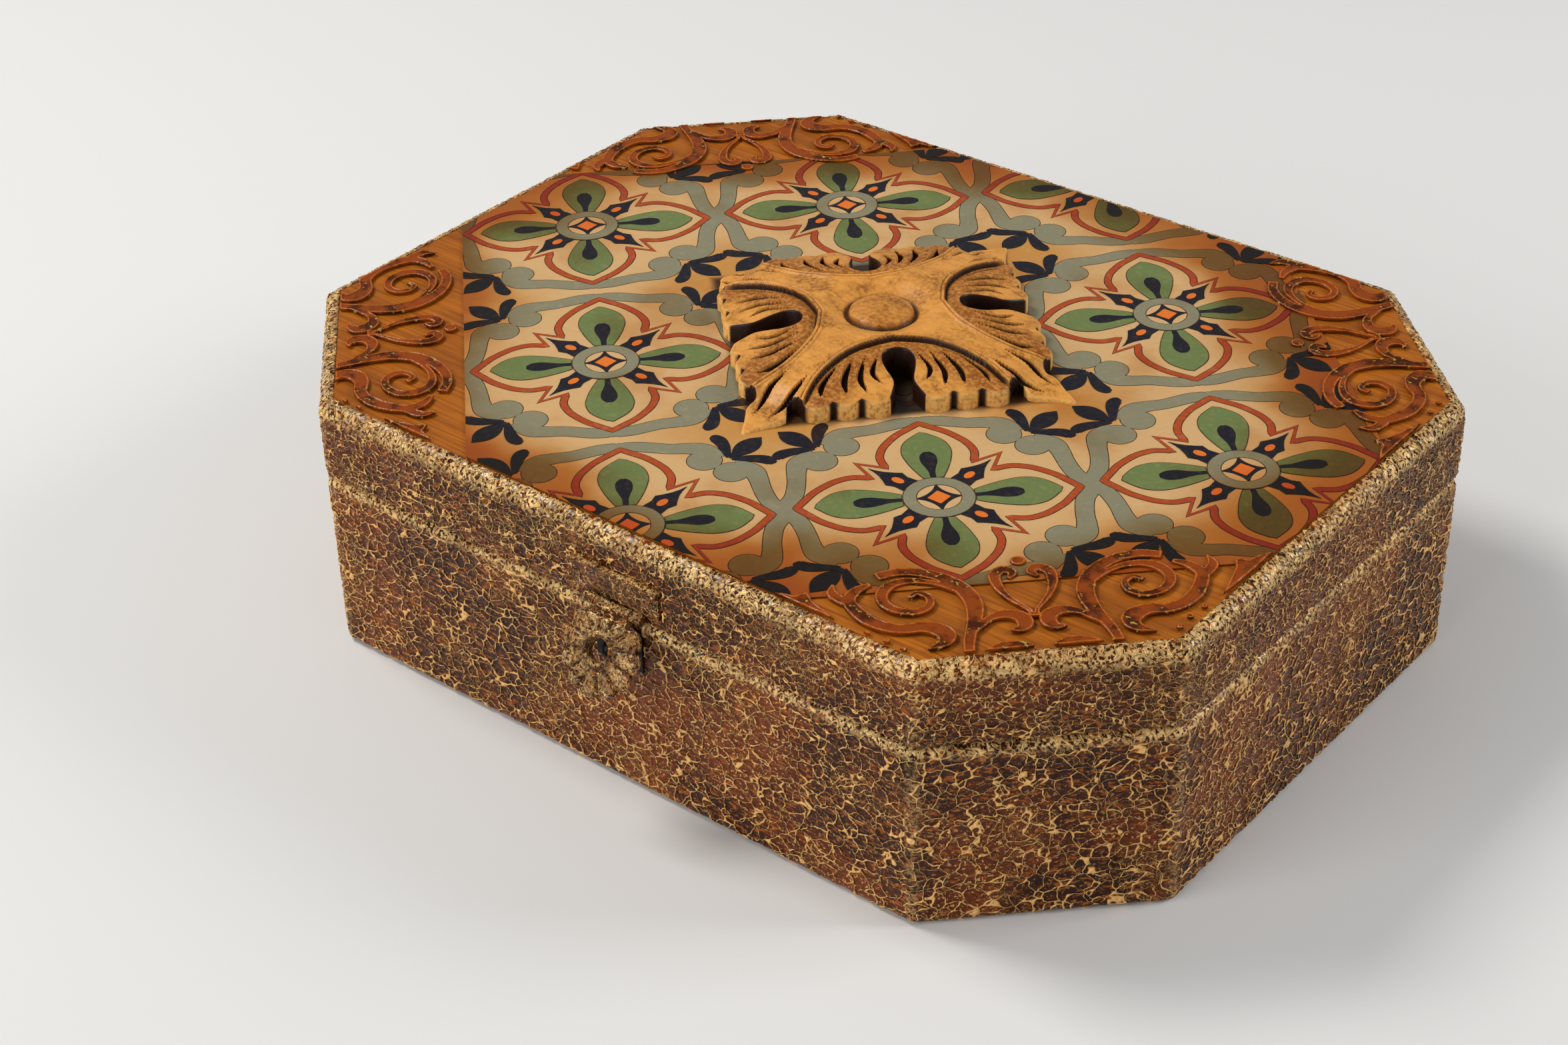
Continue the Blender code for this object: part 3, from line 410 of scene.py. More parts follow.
def smooth(points, steps):
    """An even curve through the given points."""
    rows = [Vector(point) for point in points]
    rows = [2 * rows[0] - rows[1]] + rows + [2 * rows[-1] - rows[-2]]
    curve = []
    for a, b, c, d in zip(rows, rows[1:], rows[2:], rows[3:]):
        for step in range(steps):
            t = step / steps
            curve.append(0.5 * (
                2 * b + (c - a) * t + (2 * a - 5 * b + 4 * c - d) * t * t
                + (3 * b - a - 3 * c + d) * t * t * t))
    curve.append(rows[-2])
    return curve


def stroke(points, steps=6):
    """Closed outline of a stroke; each point is (x, y, half width)."""
    line = smooth(points, steps)
    left = []
    right = []
    for index, point in enumerate(line):
        before = line[max(index - 1, 0)]
        after = line[min(index + 1, len(line) - 1)]
        heading = Vector((after.x - before.x, after.y - before.y)).normalized()
        across = Vector((-heading.y, heading.x)) * point.z
        left.append((point.x + across.x, point.y + across.y))
        right.append((point.x - across.x, point.y - across.y))
    return left + right[::-1]


# Crackled coat


corner_round = 0.0020
corner_steps = 3
coat_lift = 0.00015
coat_depth = 0.0006
rim_reach = 0.0016
corner_reach = 0.0016
base_low_round = 0.0020
base_high_round = 0.0025
lid_low_round = 0.0010
lid_high_round = 0.0035
# How far the crackle pushes up, and not only out, on the lid's upper edge
lid_push_up_share = 0.5
# Gilding, from 0 to 1; the upper rim's gilding is also painted highlight
corner_gilding = 0.22
low_gilding = 0.3
rim_gilt_and_highlight = 0.45
base_darkness = 0.15
lid_darkness = 0.40
back_steps = 5


def wall_heading(side):
    """Which way a side faces, as an angle from +X."""
    return (side - 2) * pi / 4


def wall_corners(out):
    """Corners of the octagon, moved outwards, from the front left corner counter-clockwise."""
    x = half_length + out
    y = half_depth + out
    reach = half_length + half_depth - corner_cut + out * sqrt(2)
    return [
        Vector(point) for point in (
            (y - reach, -y), (reach - y, -y), (x, x - reach), (x, reach - x),
            (reach - y, y), (y - reach, y), (-x, reach - x), (-x, x - reach))
    ]


def wall_path(out, side, steps):
    """Points along one side at one depth, mitre to mitre, each with the way it faces."""
    corners = wall_corners(out)
    start = corners[side]
    end = corners[(side + 1) % 8]
    radius = max(corner_round + out, corner_round / 10)
    along = (end - start).normalized()
    heading = wall_heading(side)
    path = []
    for corner, sign in ((start, -1), (end, 1)):
        bisector = heading + sign * pi / 8
        middle = corner - Vector((cos(bisector), sin(bisector))) * radius / cos(pi / 8)
        turn = [heading + sign * pi / 8 * step / corner_steps for step in range(corner_steps + 1)]
        if sign < 0:
            turn.reverse()
        path.append([
            (middle + Vector((cos(angle), sin(angle))) * radius, angle) for angle in turn])
    low = path[0].pop()[0]
    high = path[1].pop(0)[0]
    straight = [(low + (high - low) * step / steps, heading) for step in range(steps + 1)]
    return path[0] + straight + path[1]


def coat_piece(name, profile, side, spacing):
    """Rows of (outwards, height, push out, push up, gilding and painted highlight) swept along one
    side.
    """
    size = wall_corners(0.0)
    steps = round((size[(side + 1) % 8] - size[side]).length / spacing)
    paths = [wall_path(row[0], side, steps) for row in profile]
    columns = len(paths[0])
    rows = len(profile)
    deselect()
    bpy.ops.mesh.primitive_grid_add(x_subdivisions=columns - 1, y_subdivisions=rows - 1, size=2.0)
    piece = bpy.context.object
    piece.name = name
    piece.data.name = name
    flat = np.empty(len(piece.data.vertices) * 3)
    piece.data.vertices.foreach_get("co", flat)
    flat = flat.reshape(-1, 3)
    column = np.rint((flat[:, 0] + 1) / 2 * (columns - 1)).astype(int)
    row = np.rint((flat[:, 1] + 1) / 2 * (rows - 1)).astype(int)
    table = np.array([
        [(point.x, point.y, height, push_out * cos(angle), push_out * sin(angle), push_up)
         for point, angle in path]
        for path, (_, height, push_out, push_up, _) in zip(paths, profile)])
    along = np.array([(point - paths[0][0][0]).length for point, _ in paths[0]])
    near = np.minimum(along, along[-1] - along)
    corner = corner_gilding * np.clip(1 - near / corner_reach, 0.0, 1.0)
    gilding = np.array([line[4] for line in profile])
    piece.data.vertices.foreach_set("co", table[row, column, :3].ravel())
    write_attribute(piece, "coat_push", table[row, column, 3:])
    write_attribute(piece, "rim", np.maximum(gilding[row], corner[column]))
    close_up(piece, coat_merge_gap)
    return piece


def coat_profile(low, high, low_round, high_round, push_up, spacing):
    """Outer line of a coat from its lower to its upper edge, and its way back behind."""
    line = []
    steps = max(3, round(low_round * pi / 2 / spacing))
    for out, height in arc((0.0, 0.0), 1.0, -pi / 2, 0.0, steps):
        line.append((
            (out - 1) * low_round + coat_lift, low + (1 + height) * low_round, out, 0.0,
            low_gilding * (1 - out)))
    bottom = low + low_round
    top = high - high_round
    steps = round((top - bottom) / spacing)
    for step in range(1, steps):
        height = bottom + (top - bottom) * step / steps
        gilding = rim_gilt_and_highlight * max(0.0, 1 - (top - height) / rim_reach)
        line.append((coat_lift, height, 1.0, 0.0, gilding))
    steps = max(3, round(high_round * pi / 2 / spacing))
    # Over the upper rounding the gilding peaks half way round, as painted highlight.
    for out, height in arc((0.0, 0.0), 1.0, 0.0, pi / 2, steps):
        line.append((
            (out - 1) * high_round + coat_lift * out, high + (height - 1) * high_round,
            out, height * push_up, rim_gilt_and_highlight + (1 - rim_gilt_and_highlight) * sin(pi * height)))
    back = [
        (-coat_depth, bottom + (top - bottom) * step / back_steps, 0.0, 0.0, 0.0)
        for step in range(back_steps, -1, -1)]
    return line + back + [line[0]]


def raise_crackle(piece, name, cell, height):
    modifier = piece.modifiers.new("crackle", "NODES")
    modifier.node_group = crackle_modifier(name, cell, height)
    activate(piece)
    bpy.ops.object.modifier_apply(modifier="crackle")


class KEEPSAKE_OT_coat(bpy.types.Operator):
    """Coat the outside of the walls with a gilded crackle"""

    bl_idname = "keepsake.coat"
    bl_label = "Crackled Coat"

    def execute(self, context):
        spacing = looks().coat_spacing
        base_profile = coat_profile(
            base_low.z, base_high.z, base_low_round, base_high_round, 0.0, spacing)
        lid_profile = coat_profile(
            lid_low.z, top_high.z, lid_low_round, lid_high_round, lid_push_up_share, spacing)
        for body, cell, darkness, profile in (
                ("base", looks().base_cell, base_darkness, base_profile),
                ("lid", looks().lid_cell, lid_darkness, lid_profile)):
            material = coat_material(body + "_coat", cell, darkness)
            for side, name in enumerate(sides):
                piece = coat_piece(body + "_coat_" + name, profile, side, spacing)
                raise_crackle(piece, piece.name, cell, looks().ridge_height)
                settle(piece, material, body, "coated_wood")
        return {"FINISHED"}


# Wood


grain_band_stretch = (1.0, 9.0, 9.0)
grain_line_stretch = (1.6, 60.0, 60.0)
grain_band_scale = 14.0
grain_line_scale = 16.0
wood_cloud_scale = 22.0
grain_depth = 0.0002


def wood_material(name, light, dark, bands_fade, lines_fade, shade, strength, **finish):
    """Wood whose grain runs along X; each fade says where dark grain starts, ends and how much."""
    material, tree = new_material(name, **finish)
    place = tree.place()
    bands = tree.noise(tree.vector("MULTIPLY", place, grain_band_stretch), grain_band_scale, 4.0, 0.6)
    lines = tree.noise(tree.vector("MULTIPLY", place, grain_line_stretch), grain_line_scale, 3.0, 0.7)
    clouds = tree.noise(place, wood_cloud_scale, 3.0)
    body = light
    for value, (start, end, most) in (
            (bands, bands_fade), (lines, lines_fade), (clouds, (0.40, 0.70, shade))):
        body = tree.mix(tree.fade(value, start, end, 0.0, most), body, dark)
    tree.put("Base Color", body)
    tree.bump(lines, strength, grain_depth)
    return material


def repaint(names, material):
    for name in names:
        mesh = nodes[name].data
        mesh.materials.clear()
        mesh.materials.append(material)


class KEEPSAKE_OT_wood(bpy.types.Operator):
    """Give the boards, the bottom and the lid's top their wood"""

    bl_idname = "keepsake.wood"
    bl_label = "Wood"

    def execute(self, context):
        bare = wood_material(
            "bare_wood", looks().bare_wood, looks().bare_grain, (0.35, 0.66, 1.0),
            (0.50, 0.72, 0.55), 0.0, 0.25, roughness=0.55, coat_roughness=0.15)
        honey = wood_material(
            "honey_wood", looks().wood, looks().wood_dark, (0.35, 0.68, 0.7),
            (0.44, 0.64, 0.75), 0.35, 0.30, roughness=0.34, coat=0.02, coat_roughness=0.10,
            specular=0.15)
        boards = ["base_board_" + side for side in sides] + ["lid_board_" + side for side in sides]
        repaint(boards + ["bottom_panel"], bare)
        repaint(["top_panel"], honey)
        return {"FINISHED"}


# Printed sheet


pitch_x = 0.05464
pitch_y = 0.05500
lean_x = -0.00238
lean_y = -0.00014
flower_x = 0.0024
flower_y = 0.0047
motif_size = 0.0784
layer_step = 0.00002
flower_reach = 4
# Painted shadow that lies under the rosette and shows in its keyholes, from full to none
shadow_half = 0.0395
shadow_end = 0.0425
# Brown glaze round the sheet, by distance from the lid's edge
glaze_wander = 0.012
glaze_full = 0.008
glaze_end = 0.034
deep_glaze_end = 0.024
# Noise in the print's colour, in waves per metre
glaze_wander_scale = 20.0
print_cloud_scale = 34.0
paper_drift_scale = 40.0
print_fibre_scale = 240.0
print_fleck_scale = 420.0
paper_wear = 0.20
print_wear = 0.16
print_bump = 0.0002
navy_wear = 0.04


def flower_places():
    """Middles of the flowers and, between them, of the places where four sprigs meet."""
    places = []
    for i in range(-flower_reach, flower_reach + 1):
        for j in range(-flower_reach, flower_reach + 1):
            if (i + j) % 2 == 0:
                places.append((
                    flower_x + i * pitch_x + j * lean_x, flower_y + j * pitch_y + i * lean_y))
    return places


def sheet_outline():
    """Corners of the printed sheet, counter-clockwise, read from its solid."""
    points = {
        (round(vertex.co.x, 6), round(vertex.co.y, 6))
        for vertex in nodes["print_sheet"].data.vertices if vertex.co.z > sheet_high.z - 0.00005
    }
    return sorted(points, key=lambda point: atan2(point[1], point[0]))


def sheet_reach():
    """How far out the sheet's cut corners lie, as the sum of both distances from the middle."""
    return max(x + y for x, y in sheet_outline())


def under_rosette(tree, parts):
    """1 where painted shadow lies under the rosette and shows in its keyholes, 0 elsewhere."""
    x = tree.math("SUBTRACT", parts[0], rosette_x)
    y = tree.math("SUBTRACT", parts[1], rosette_y)
    c = cos(rosette_turn)
    s = sin(rosette_turn)
    reach = [
        tree.math("ABSOLUTE", tree.math("ADD", tree.times(x, first), tree.times(y, second)))
        for first, second in ((c, s), (-s, c))]
    return tree.fade(tree.math("MAXIMUM", *reach), shadow_half, shadow_end, 0.93, 0.0)


def paper_colour(tree, place, base, wear):
    """A printed colour, mottled, with the brown glaze round the sheet's edges over it and painted
    shadow under the rosette.
    """
    parts = tree.parts(place)
    across = tree.math("ABSOLUTE", parts[0])
    along = tree.math("ABSOLUTE", parts[1])
    far_x = tree.math("SUBTRACT", half_length, across)
    far_y = tree.math("SUBTRACT", half_depth, along)
    far_d = tree.math("SUBTRACT", sheet_reach(), tree.math("ADD", across, along))
    far_d = tree.times(far_d, 1 / sqrt(2))
    near = tree.math("MINIMUM", tree.math("MINIMUM", far_x, far_y), far_d)
    wander = tree.noise(place, glaze_wander_scale, 3.0)
    near = tree.math("ADD", near, tree.fade(wander, 0.2, 0.8, -glaze_wander, glaze_wander))
    cover = tree.fade(near, glaze_full, glaze_end, 1.0, 0.0)
    cloud = tree.noise(place, print_cloud_scale, 4.0)
    cover = tree.math("MAXIMUM", cover, tree.fade(cloud, 0.50, 0.72, 0.0, 0.55))
    fleck = tree.noise(place, print_fleck_scale, 4.0)
    body = tree.mix(tree.fade(fleck, 0.52, 0.78, 0.0, wear), base, looks().paper)
    body = tree.mix(tree.fade(fleck, 0.50, 0.25, 0.0, wear), body, looks().paper_shade)
    for share in (cover, tree.fade(near, 0.0, deep_glaze_end, 0.80, 0.0)):
        body = tree.mix(share, body, tree.mix(1.0, body, looks().glaze, "MULTIPLY"))
    # Painted shadow under the rosette, which shows through its keyholes.
    return tree.mix(under_rosette(tree, parts), body, looks().carving_painted_shade)


def ground_colour(tree, place):
    """Cream paper, paler round each flower."""
    parts = tree.parts(place)
    waves = []
    for axis, start, pitch in ((0, flower_x, pitch_x), (1, flower_y, pitch_y)):
        shifted = tree.math("SUBTRACT", parts[axis], start)
        waves.append(tree.math("COSINE", tree.times(shifted, pi / pitch)))
    drift = tree.times(tree.noise(place, paper_drift_scale), 0.9)
    drift = tree.math("ADD", drift, 0.5)
    wave = tree.math("ADD", tree.times(*waves), drift)
    return tree.mix(tree.fade(wave, -0.1, 1.0), looks().paper_shade, looks().paper)


def print_material(name, ink, wear):
    """Worn print in one ink, or bare paper where there is no ink."""
    material, tree = new_material(name, 0.36, coat=0.05, coat_roughness=0.10, specular=0.28)
    place = tree.place()
    base = ground_colour(tree, place) if ink is None else ink
    tree.put("Base Color", paper_colour(tree, place, base, wear))
    tree.bump(tree.noise(place, print_fibre_scale, 4.0), 0.12, print_bump)
    return material


# Printed shapes, in thousandths of motif_size from a flower's middle. Each is a quarter or half of
# its figure, and is turned or mirrored for the rest.
petal_shares = [
    (60, 104), (69, 128), (81, 157), (101, 197), (131, 242), (170, 271), (210, 281), (270, 278),
]
drop_shares = [
    (73, 86), (98, 113), (112, 136), (130, 168), (155, 191), (180, 196), (189, 189),
]
dart_shares = [(38, 100), (34, 148), (44, 176), (31, 194), (14, 224), (5, 250), (0, 277)]
lobe_shares = [
    (37, 236), (70, 284), (110, 309), (150, 321), (210, 327), (260, 322), (314, 315),
]
leaf_shares = [(0, 484), (12, 508), (30, 540), (37, 575), (28, 610), (0, 645)]
side_leaf_shares = [
    (6, 488, 8), (30, 506, 14), (62, 530, 20), (94, 547, 23), (118, 549, 20), (131, 545, 9),
]
ribbon_shares = [
    (36, 460, 30), (72, 474, 33), (110, 472, 34), (150, 447, 30), (190, 414, 28), (230, 385, 28),
    (272, 362, 28), (333, 348, 27),
]
cusp_shares = [
    (36, 460, 30), (72, 474, 33), (110, 472, 34), (150, 447, 30), (190, 414, 28), (232, 390, 28),
    (275, 366, 28), (318, 334, 24), (340, 330, 12),
]
scroll_x = 56
scroll_y = 427
scroll_r = 56
ring_outer = 112
ring_inner = 72
square_half = 57
square_waist = 44
orange_half = 26
star_tip = 326
dot_middle = 160
dot_wide = 14
dot_long = 23
rust_half = 11
line_half = 3


def turned(points, quarter, mirror=False):
    """Points turned by quarters of a circle, mirrored about the diagonal first if asked."""
    result = []
    for x, y in points:
        if mirror:
            x, y = y, x
        for _ in range(quarter):
            x, y = -y, x
        result.append((x, y))
    return result


def round_outline(centre, radius, steps=36):
    return arc(centre, radius, 0.0, 2 * pi * (1 - 1 / steps), steps - 1)


def oval(centre, wide, long, steps=16):
    return [
        (centre[0] + wide * cos(2 * pi * k / steps), centre[1] + long * sin(2 * pi * k / steps))
        for k in range(steps)
    ]


def widen(outline, by):
    """An outline moved outwards, along the mean of its neighbouring edges' normals."""
    nexts = outline[1:] + outline[:1]
    area = sum(a[0] * b[1] - b[0] * a[1] for a, b in zip(outline, nexts))
    sign = 1 if area > 0 else -1
    moved = []
    for index, point in enumerate(outline):
        before = Vector(outline[index - 1])
        after = Vector(outline[(index + 1) % len(outline)])
        here = Vector(point)
        first = (here - before).normalized()
        second = (after - here).normalized()
        normal = Vector((first.y + second.y, -first.x - second.x))
        if normal.length < 0.1:
            moved.append(tuple(here))
        else:
            moved.append(tuple(here + normal.normalized() * by * sign))
    return moved


def closed_curve(points, steps):
    """A smooth closed outline's open half, through (x, y) points."""
    return [(point.x, point.y) for point in smooth([(x, y, 0.0) for x, y in points], steps)]


def motif():
    """The shapes of one flower and its share of the ribbons, by colour."""
    kinds = ("ribbon", "rust", "petal", "navy", "ring", "cream", "orange")
    shapes = {kind: [] for kind in kinds}
    lobe = closed_curve(lobe_shares, 6)
    lobe = lobe + [(y, x) for x, y in lobe[-2::-1]]
    star = []
    for quarter in range(4):
        star += turned([(star_tip, 0)] + [(y, x) for x, y in lobe], quarter)
    shapes["rust"].append((widen(star, rust_half), widen(star, -rust_half)))
    half = closed_curve(petal_shares, 5)
    petal = half + [(y, x) for x, y in half[-2::-1]]
    half = closed_curve(drop_shares, 5)
    drop = half + [(y, x) for x, y in half[-2::-1]]
    right = [(x, y) for x, y in dart_shares]
    dart = right + [(-x, y) for x, y in right[-2::-1]]
    half = closed_curve(leaf_shares, 5)
    leaf = half + [(-x, y) for x, y in half[-2:0:-1]]
    for quarter in range(4):
        shapes["petal"].append((turned(petal, quarter),))
        shapes["navy"].append((turned(drop, quarter),))
        shapes["navy"].append((turned(dart, quarter),))
        shapes["navy"].append((turned(leaf, quarter),))
        shapes["orange"].append((turned(oval((0, dot_middle), dot_wide, dot_long), quarter),))
        for sign in (-1, 1):
            side = stroke([(sign * x, y, half) for x, y, half in side_leaf_shares])
            shapes["navy"].append((turned(side, quarter),))
            curl = round_outline((sign * scroll_x, scroll_y), scroll_r)
            shapes["ribbon"].append((turned(curl, quarter),))
            crossing = (quarter % 2 == 0) == (sign > 0)
            band = ribbon_shares if crossing else cusp_shares
            line = stroke([(sign * x, y, half) for x, y, half in band])
            shapes["ribbon"].append((turned(line, quarter),))
    shapes["navy"].append((square_outline(),))
    shapes["ring"].append((round_outline((0, 0), ring_outer), round_outline((0, 0), ring_inner)))
    shapes["cream"].append((round_outline((0, 0), ring_inner),))
    shapes["orange"].append((
        [(-orange_half, -orange_half), (orange_half, -orange_half),
         (orange_half, orange_half), (-orange_half, orange_half)],))
    return shapes


def square_outline():
    """A square whose sides bow inwards."""
    side = closed_curve([
        (square_half, -square_half), (square_waist, -square_half / 2), (square_waist - 4, 0),
        (square_waist, square_half / 2), (square_half, square_half)], 4)[:-1]
    outline = []
    for quarter in range(4):
        outline += turned(side, quarter)
    return outline


def trimmed(loop, corners):
    """A closed outline cut off where it passes a convex one."""
    for start, end in zip(corners, corners[1:] + corners[:1]):
        run = (end[0] - start[0], end[1] - start[1])
        kept = []
        for a, b in zip(loop, loop[1:] + loop[:1]):
            side_a = run[0] * (a[1] - start[1]) - run[1] * (a[0] - start[0])
            side_b = run[0] * (b[1] - start[1]) - run[1] * (b[0] - start[0])
            if side_a >= 0:
                kept.append(a)
            if (side_a >= 0) != (side_b >= 0):
                share = side_a / (side_a - side_b)
                kept.append((a[0] + (b[0] - a[0]) * share, a[1] + (b[1] - a[1]) * share))
        loop = kept
        if len(loop) < 3:
            return []
    return loop


def inside(points, loop):
    """Which points lie inside a closed outline."""
    a = np.array(loop)
    low = a.min(axis=0)
    high = a.max(axis=0)
    found = np.zeros(len(points), bool)
    close = np.nonzero(np.all((points >= low) & (points <= high), axis=1))[0]
    b = np.roll(a, -1, axis=0)
    rise = b[:, 1] - a[:, 1]
    slope = (b[:, 0] - a[:, 0]) / np.where(np.abs(rise) < 1e-12, 1e-12, rise)
    for first in range(0, len(close), inside_batch):
        part = close[first:first + inside_batch]
        x = points[part, 0][:, None]
        y = points[part, 1][:, None]
        crosses = (a[:, 1] > y) != (b[:, 1] > y)
        right = x < a[:, 0] + (y - a[:, 1]) * slope
        found[part] = np.sum(crosses & right, axis=1) % 2 == 1
    return found


def covered(points, groups):
    """Which points any of the groups covers; a group is an outline and its holes."""
    kept = np.zeros(len(points), bool)
    for group in groups:
        part = inside(points, group[0])
        for hole in group[1:]:
            part &= ~inside(points, hole)
        kept |= part
    return kept


def fill_groups(groups, spacing=None, grid=None):
    """Triangles that cover the groups' outlines, with grid points between where they are given."""
    corners = []
    edges = []
    for group in groups:
        for loop in group:
            if spacing:
                loop = densify(loop, spacing)
            first = len(corners)
            corners += loop
            edges += [
                (first + index, first + (index + 1) % len(loop)) for index in range(len(loop))]
    if grid is not None:
        starts = np.array([corners[a] for a, _ in edges])
        ends = np.array([corners[b] for _, b in edges])
        grid = grid[covered(grid, groups)]
        grid = grid[edge_distance(grid, starts, ends) > spacing / 2]
        corners = corners + [tuple(point) for point in grid]
    found = delaunay_2d_cdt([Vector(point) for point in corners], edges, [], 0, cut_tolerance)
    points = np.array([tuple(point) for point in found[0]])
    triangles = np.array([tuple(face) for face in found[2]])
    return points, triangles[covered(points[triangles].mean(axis=1), groups)]


def print_layer(name, groups, high, thickness):
    """Flat printed shapes, as one solid that stands a little proud of the sheet."""
    points, triangles = fill_groups(groups)
    used = np.unique(triangles)
    fresh = np.full(len(points), -1)
    fresh[used] = np.arange(len(used))
    places = np.column_stack([points[used], np.full(len(used), high)])
    piece = new_piece(name, places, fresh[triangles])
    modifier = piece.modifiers.new("thickness", "SOLIDIFY")
    modifier.thickness = thickness
    modifier.offset = -1.0
    activate(piece)
    bpy.ops.object.modifier_apply(modifier="thickness")
    return piece


class KEEPSAKE_OT_print(bpy.types.Operator):
    """Print the tile pattern on the lid's sheet"""

    bl_idname = "keepsake.print"
    bl_label = "Printed Sheet"

    def execute(self, context):
        repaint(["print_sheet"], print_material("printed_paper", None, paper_wear))
        corners = sheet_outline()
        scale = motif_size / 1000
        shapes = motif()
        inks = (
            ("ribbon", looks().ribbon_grey, True), ("rust", looks().rust, True),
            ("petal", looks().leaf_green, True), ("cream", looks().paper, False),
            ("navy", looks().navy, False), ("ring", looks().ribbon_grey, True),
            ("orange", looks().orange, False))
        layers = []
        for kind, ink, outlined in inks:
            if outlined:
                layers.append((kind + "_line", kind, looks().pencil, line_half))
            layers.append((kind, kind, ink, 0))
        for index, (name, kind, paint, wider) in enumerate(layers):
            groups = []
            for middle_x, middle_y in flower_places():
                for loops in shapes[kind]:
                    group = []
                    for count, loop in enumerate(loops):
                        grown = widen(loop, -wider if count else wider)
                        placed = [
                            (middle_x + scale * x, middle_y + scale * y) for x, y in grown]
                        group.append(trimmed(placed, corners))
                    if group[0]:
                        groups.append([loop for loop in group if loop])
            rise = layer_step * (index + 1)
            piece = print_layer("print_" + name, groups, level + rise, rise + layer_step)
            wear = navy_wear if kind == "navy" else print_wear
            settle(piece, print_material("print_" + name, paint, wear), "lid", "printed_paper")
        return {"FINISHED"}


# Raised pieces with a carved top


probe_step = 0.00015
seat_depth = 0.00005
crease_angle = radians(40)


def edge_distance(points, starts, ends):
    """Distance from each point to the nearest line piece, found through places along the lines."""
    run = ends - starts
    length = np.maximum(np.hypot(run[:, 0], run[:, 1]), 1e-9)
    steps = np.ceil(length / probe_step).astype(int) + 1
    owner = np.repeat(np.arange(len(starts)), steps)
    order = np.concatenate([np.linspace(0.0, 1.0, count) for count in steps])
    places = starts[owner] + run[owner] * order[:, None]
    tree = kdtree.KDTree(len(places))
    for index, place in enumerate(places):
        tree.insert((place[0], place[1], 0.0), index)
    tree.balance()
    found = owner[[tree.find((x, y, 0.0))[1] for x, y in points]]
    away = points - starts[found]
    share = np.clip(np.sum(away * run[found], axis=1) / length[found] ** 2, 0.0, 1.0)
    gap = away - run[found] * share[:, None]
    return np.hypot(gap[:, 0], gap[:, 1])


def densify(loop, spacing):
    """A closed outline with no two points further apart than spacing."""
    points = []
    for start, end in zip(loop, loop[1:] + loop[:1]):
        gap = sqrt((end[0] - start[0]) ** 2 + (end[1] - start[1]) ** 2)
        steps = max(1, round(gap / spacing))
        for step in range(steps):
            share = step / steps
            points.append((
                start[0] + (end[0] - start[0]) * share, start[1] + (end[1] - start[1]) * share))
    return points


def even_points(loops, spacing):
    """Points of an even triangular grid over the outlines' extent."""
    corners = np.concatenate([np.array(loop) for loop in loops])
    low = corners.min(axis=0)
    high = corners.max(axis=0)
    rows = []
    for row, y in enumerate(np.arange(low[1], high[1], spacing * sqrt(3) / 2)):
        x = np.arange(low[0] + row % 2 * spacing / 2, high[0], spacing)
        rows.append(np.column_stack([x, np.full(len(x), y)]))
    return np.concatenate(rows)


def raised_piece(name, groups, spacing, bottom, shape_top):
    """A piece with upright sides whose top follows shape_top(points, distance to the edge)."""
    grid = even_points([group[0] for group in groups], spacing)
    points, triangles = fill_groups(groups, spacing, grid)
    pairs = np.concatenate([triangles[:, [0, 1]], triangles[:, [1, 2]], triangles[:, [2, 0]]])
    keys = np.sort(pairs, axis=1)
    _, first, counts = np.unique(keys, axis=0, return_index=True, return_counts=True)
    rim = pairs[first[counts == 1]]
    distance = edge_distance(points, points[rim[:, 0]], points[rim[:, 1]])
    heights, marks = shape_top(points, distance)
    count = len(points)
    top = np.column_stack([points, heights])
    floor = np.column_stack([points, np.full(count, bottom)])
    faces = [tuple(face) for face in triangles]
    faces += [(a, b, b + count) for a, b in rim]
    faces += [(a, b + count, a + count) for a, b in rim]
    low_points, low_triangles = fill_groups(groups, spacing)
    faces += [tuple(2 * count + face[::-1]) for face in low_triangles]
    low = np.column_stack([low_points, np.full(len(low_points), bottom)])
    piece = new_piece(name, np.concatenate([top, floor, low]), faces)
    low_marks = shape_top(low_points, np.zeros(len(low_points)))[1]
    for key, values in marks.items():
        write_attribute(piece, key, np.concatenate([values, values, low_marks[key]]))
    close_up(piece, raised_merge_gap)
    activate(piece)
    bpy.ops.object.shade_smooth_by_angle(angle=crease_angle)
    return piece


# Carved rosette


rosette_x = 0.0003
rosette_y = 0.0042
rosette_turn = radians(47)
rosette_half = 0.0414
crown_height = 0.0096
edge_drop = 0.0051
flat_share = 0.36
fall_power = 1.4
tip_drop = 0.0020
dish_height = 0.0073
dish_inner = 0.0095
dish_outer = 0.0165
boss_radius = 0.0090
boss_rise = 0.0025
boss_stain = 0.55
boss_stain_start = 0.0006
boss_stain_end = 0.0030
moat_place = 0.0003
moat_half = 0.0009
moat_depth = 0.0006
# Painted shadow laid in the moat round the boss
moat_shadow = 0.42
# Painted shade on the side walls of the keyholes, scallop valleys and notches
keyhole_side_share = 0.990
keyhole_side_fade = 0.0002
keyhole_side_full = 0.0020
keyhole_side_half = 0.030
keyhole_side_end = 0.0312
rubbed_edge = 0.0010
gouge_depth = 0.0022
fan_sink = 0.00045
fan_step = 0.0008
fan_step_place = 0.0012
fan_step_fade = 0.0016
fan_start = 0.0009
fan_full = 0.0014
pillow_rise = 0.0005
pillow_start = 0.001
pillow_end = 0.006
edge_round = 0.0007
edge_round_drop = 0.0006
tool_mark_depth = 0.00013
# Each tool mark's waves per metre, its level in the noise and its share
tool_marks = ((160, 0.3, 1.0), (520, 4.0, 0.5))
# An arch's two ridges: place inwards of its line, half width and rise
arch_ridges = ((-0.0006, 0.00055, 0.00050), (0.0006, 0.00060, 0.00065))
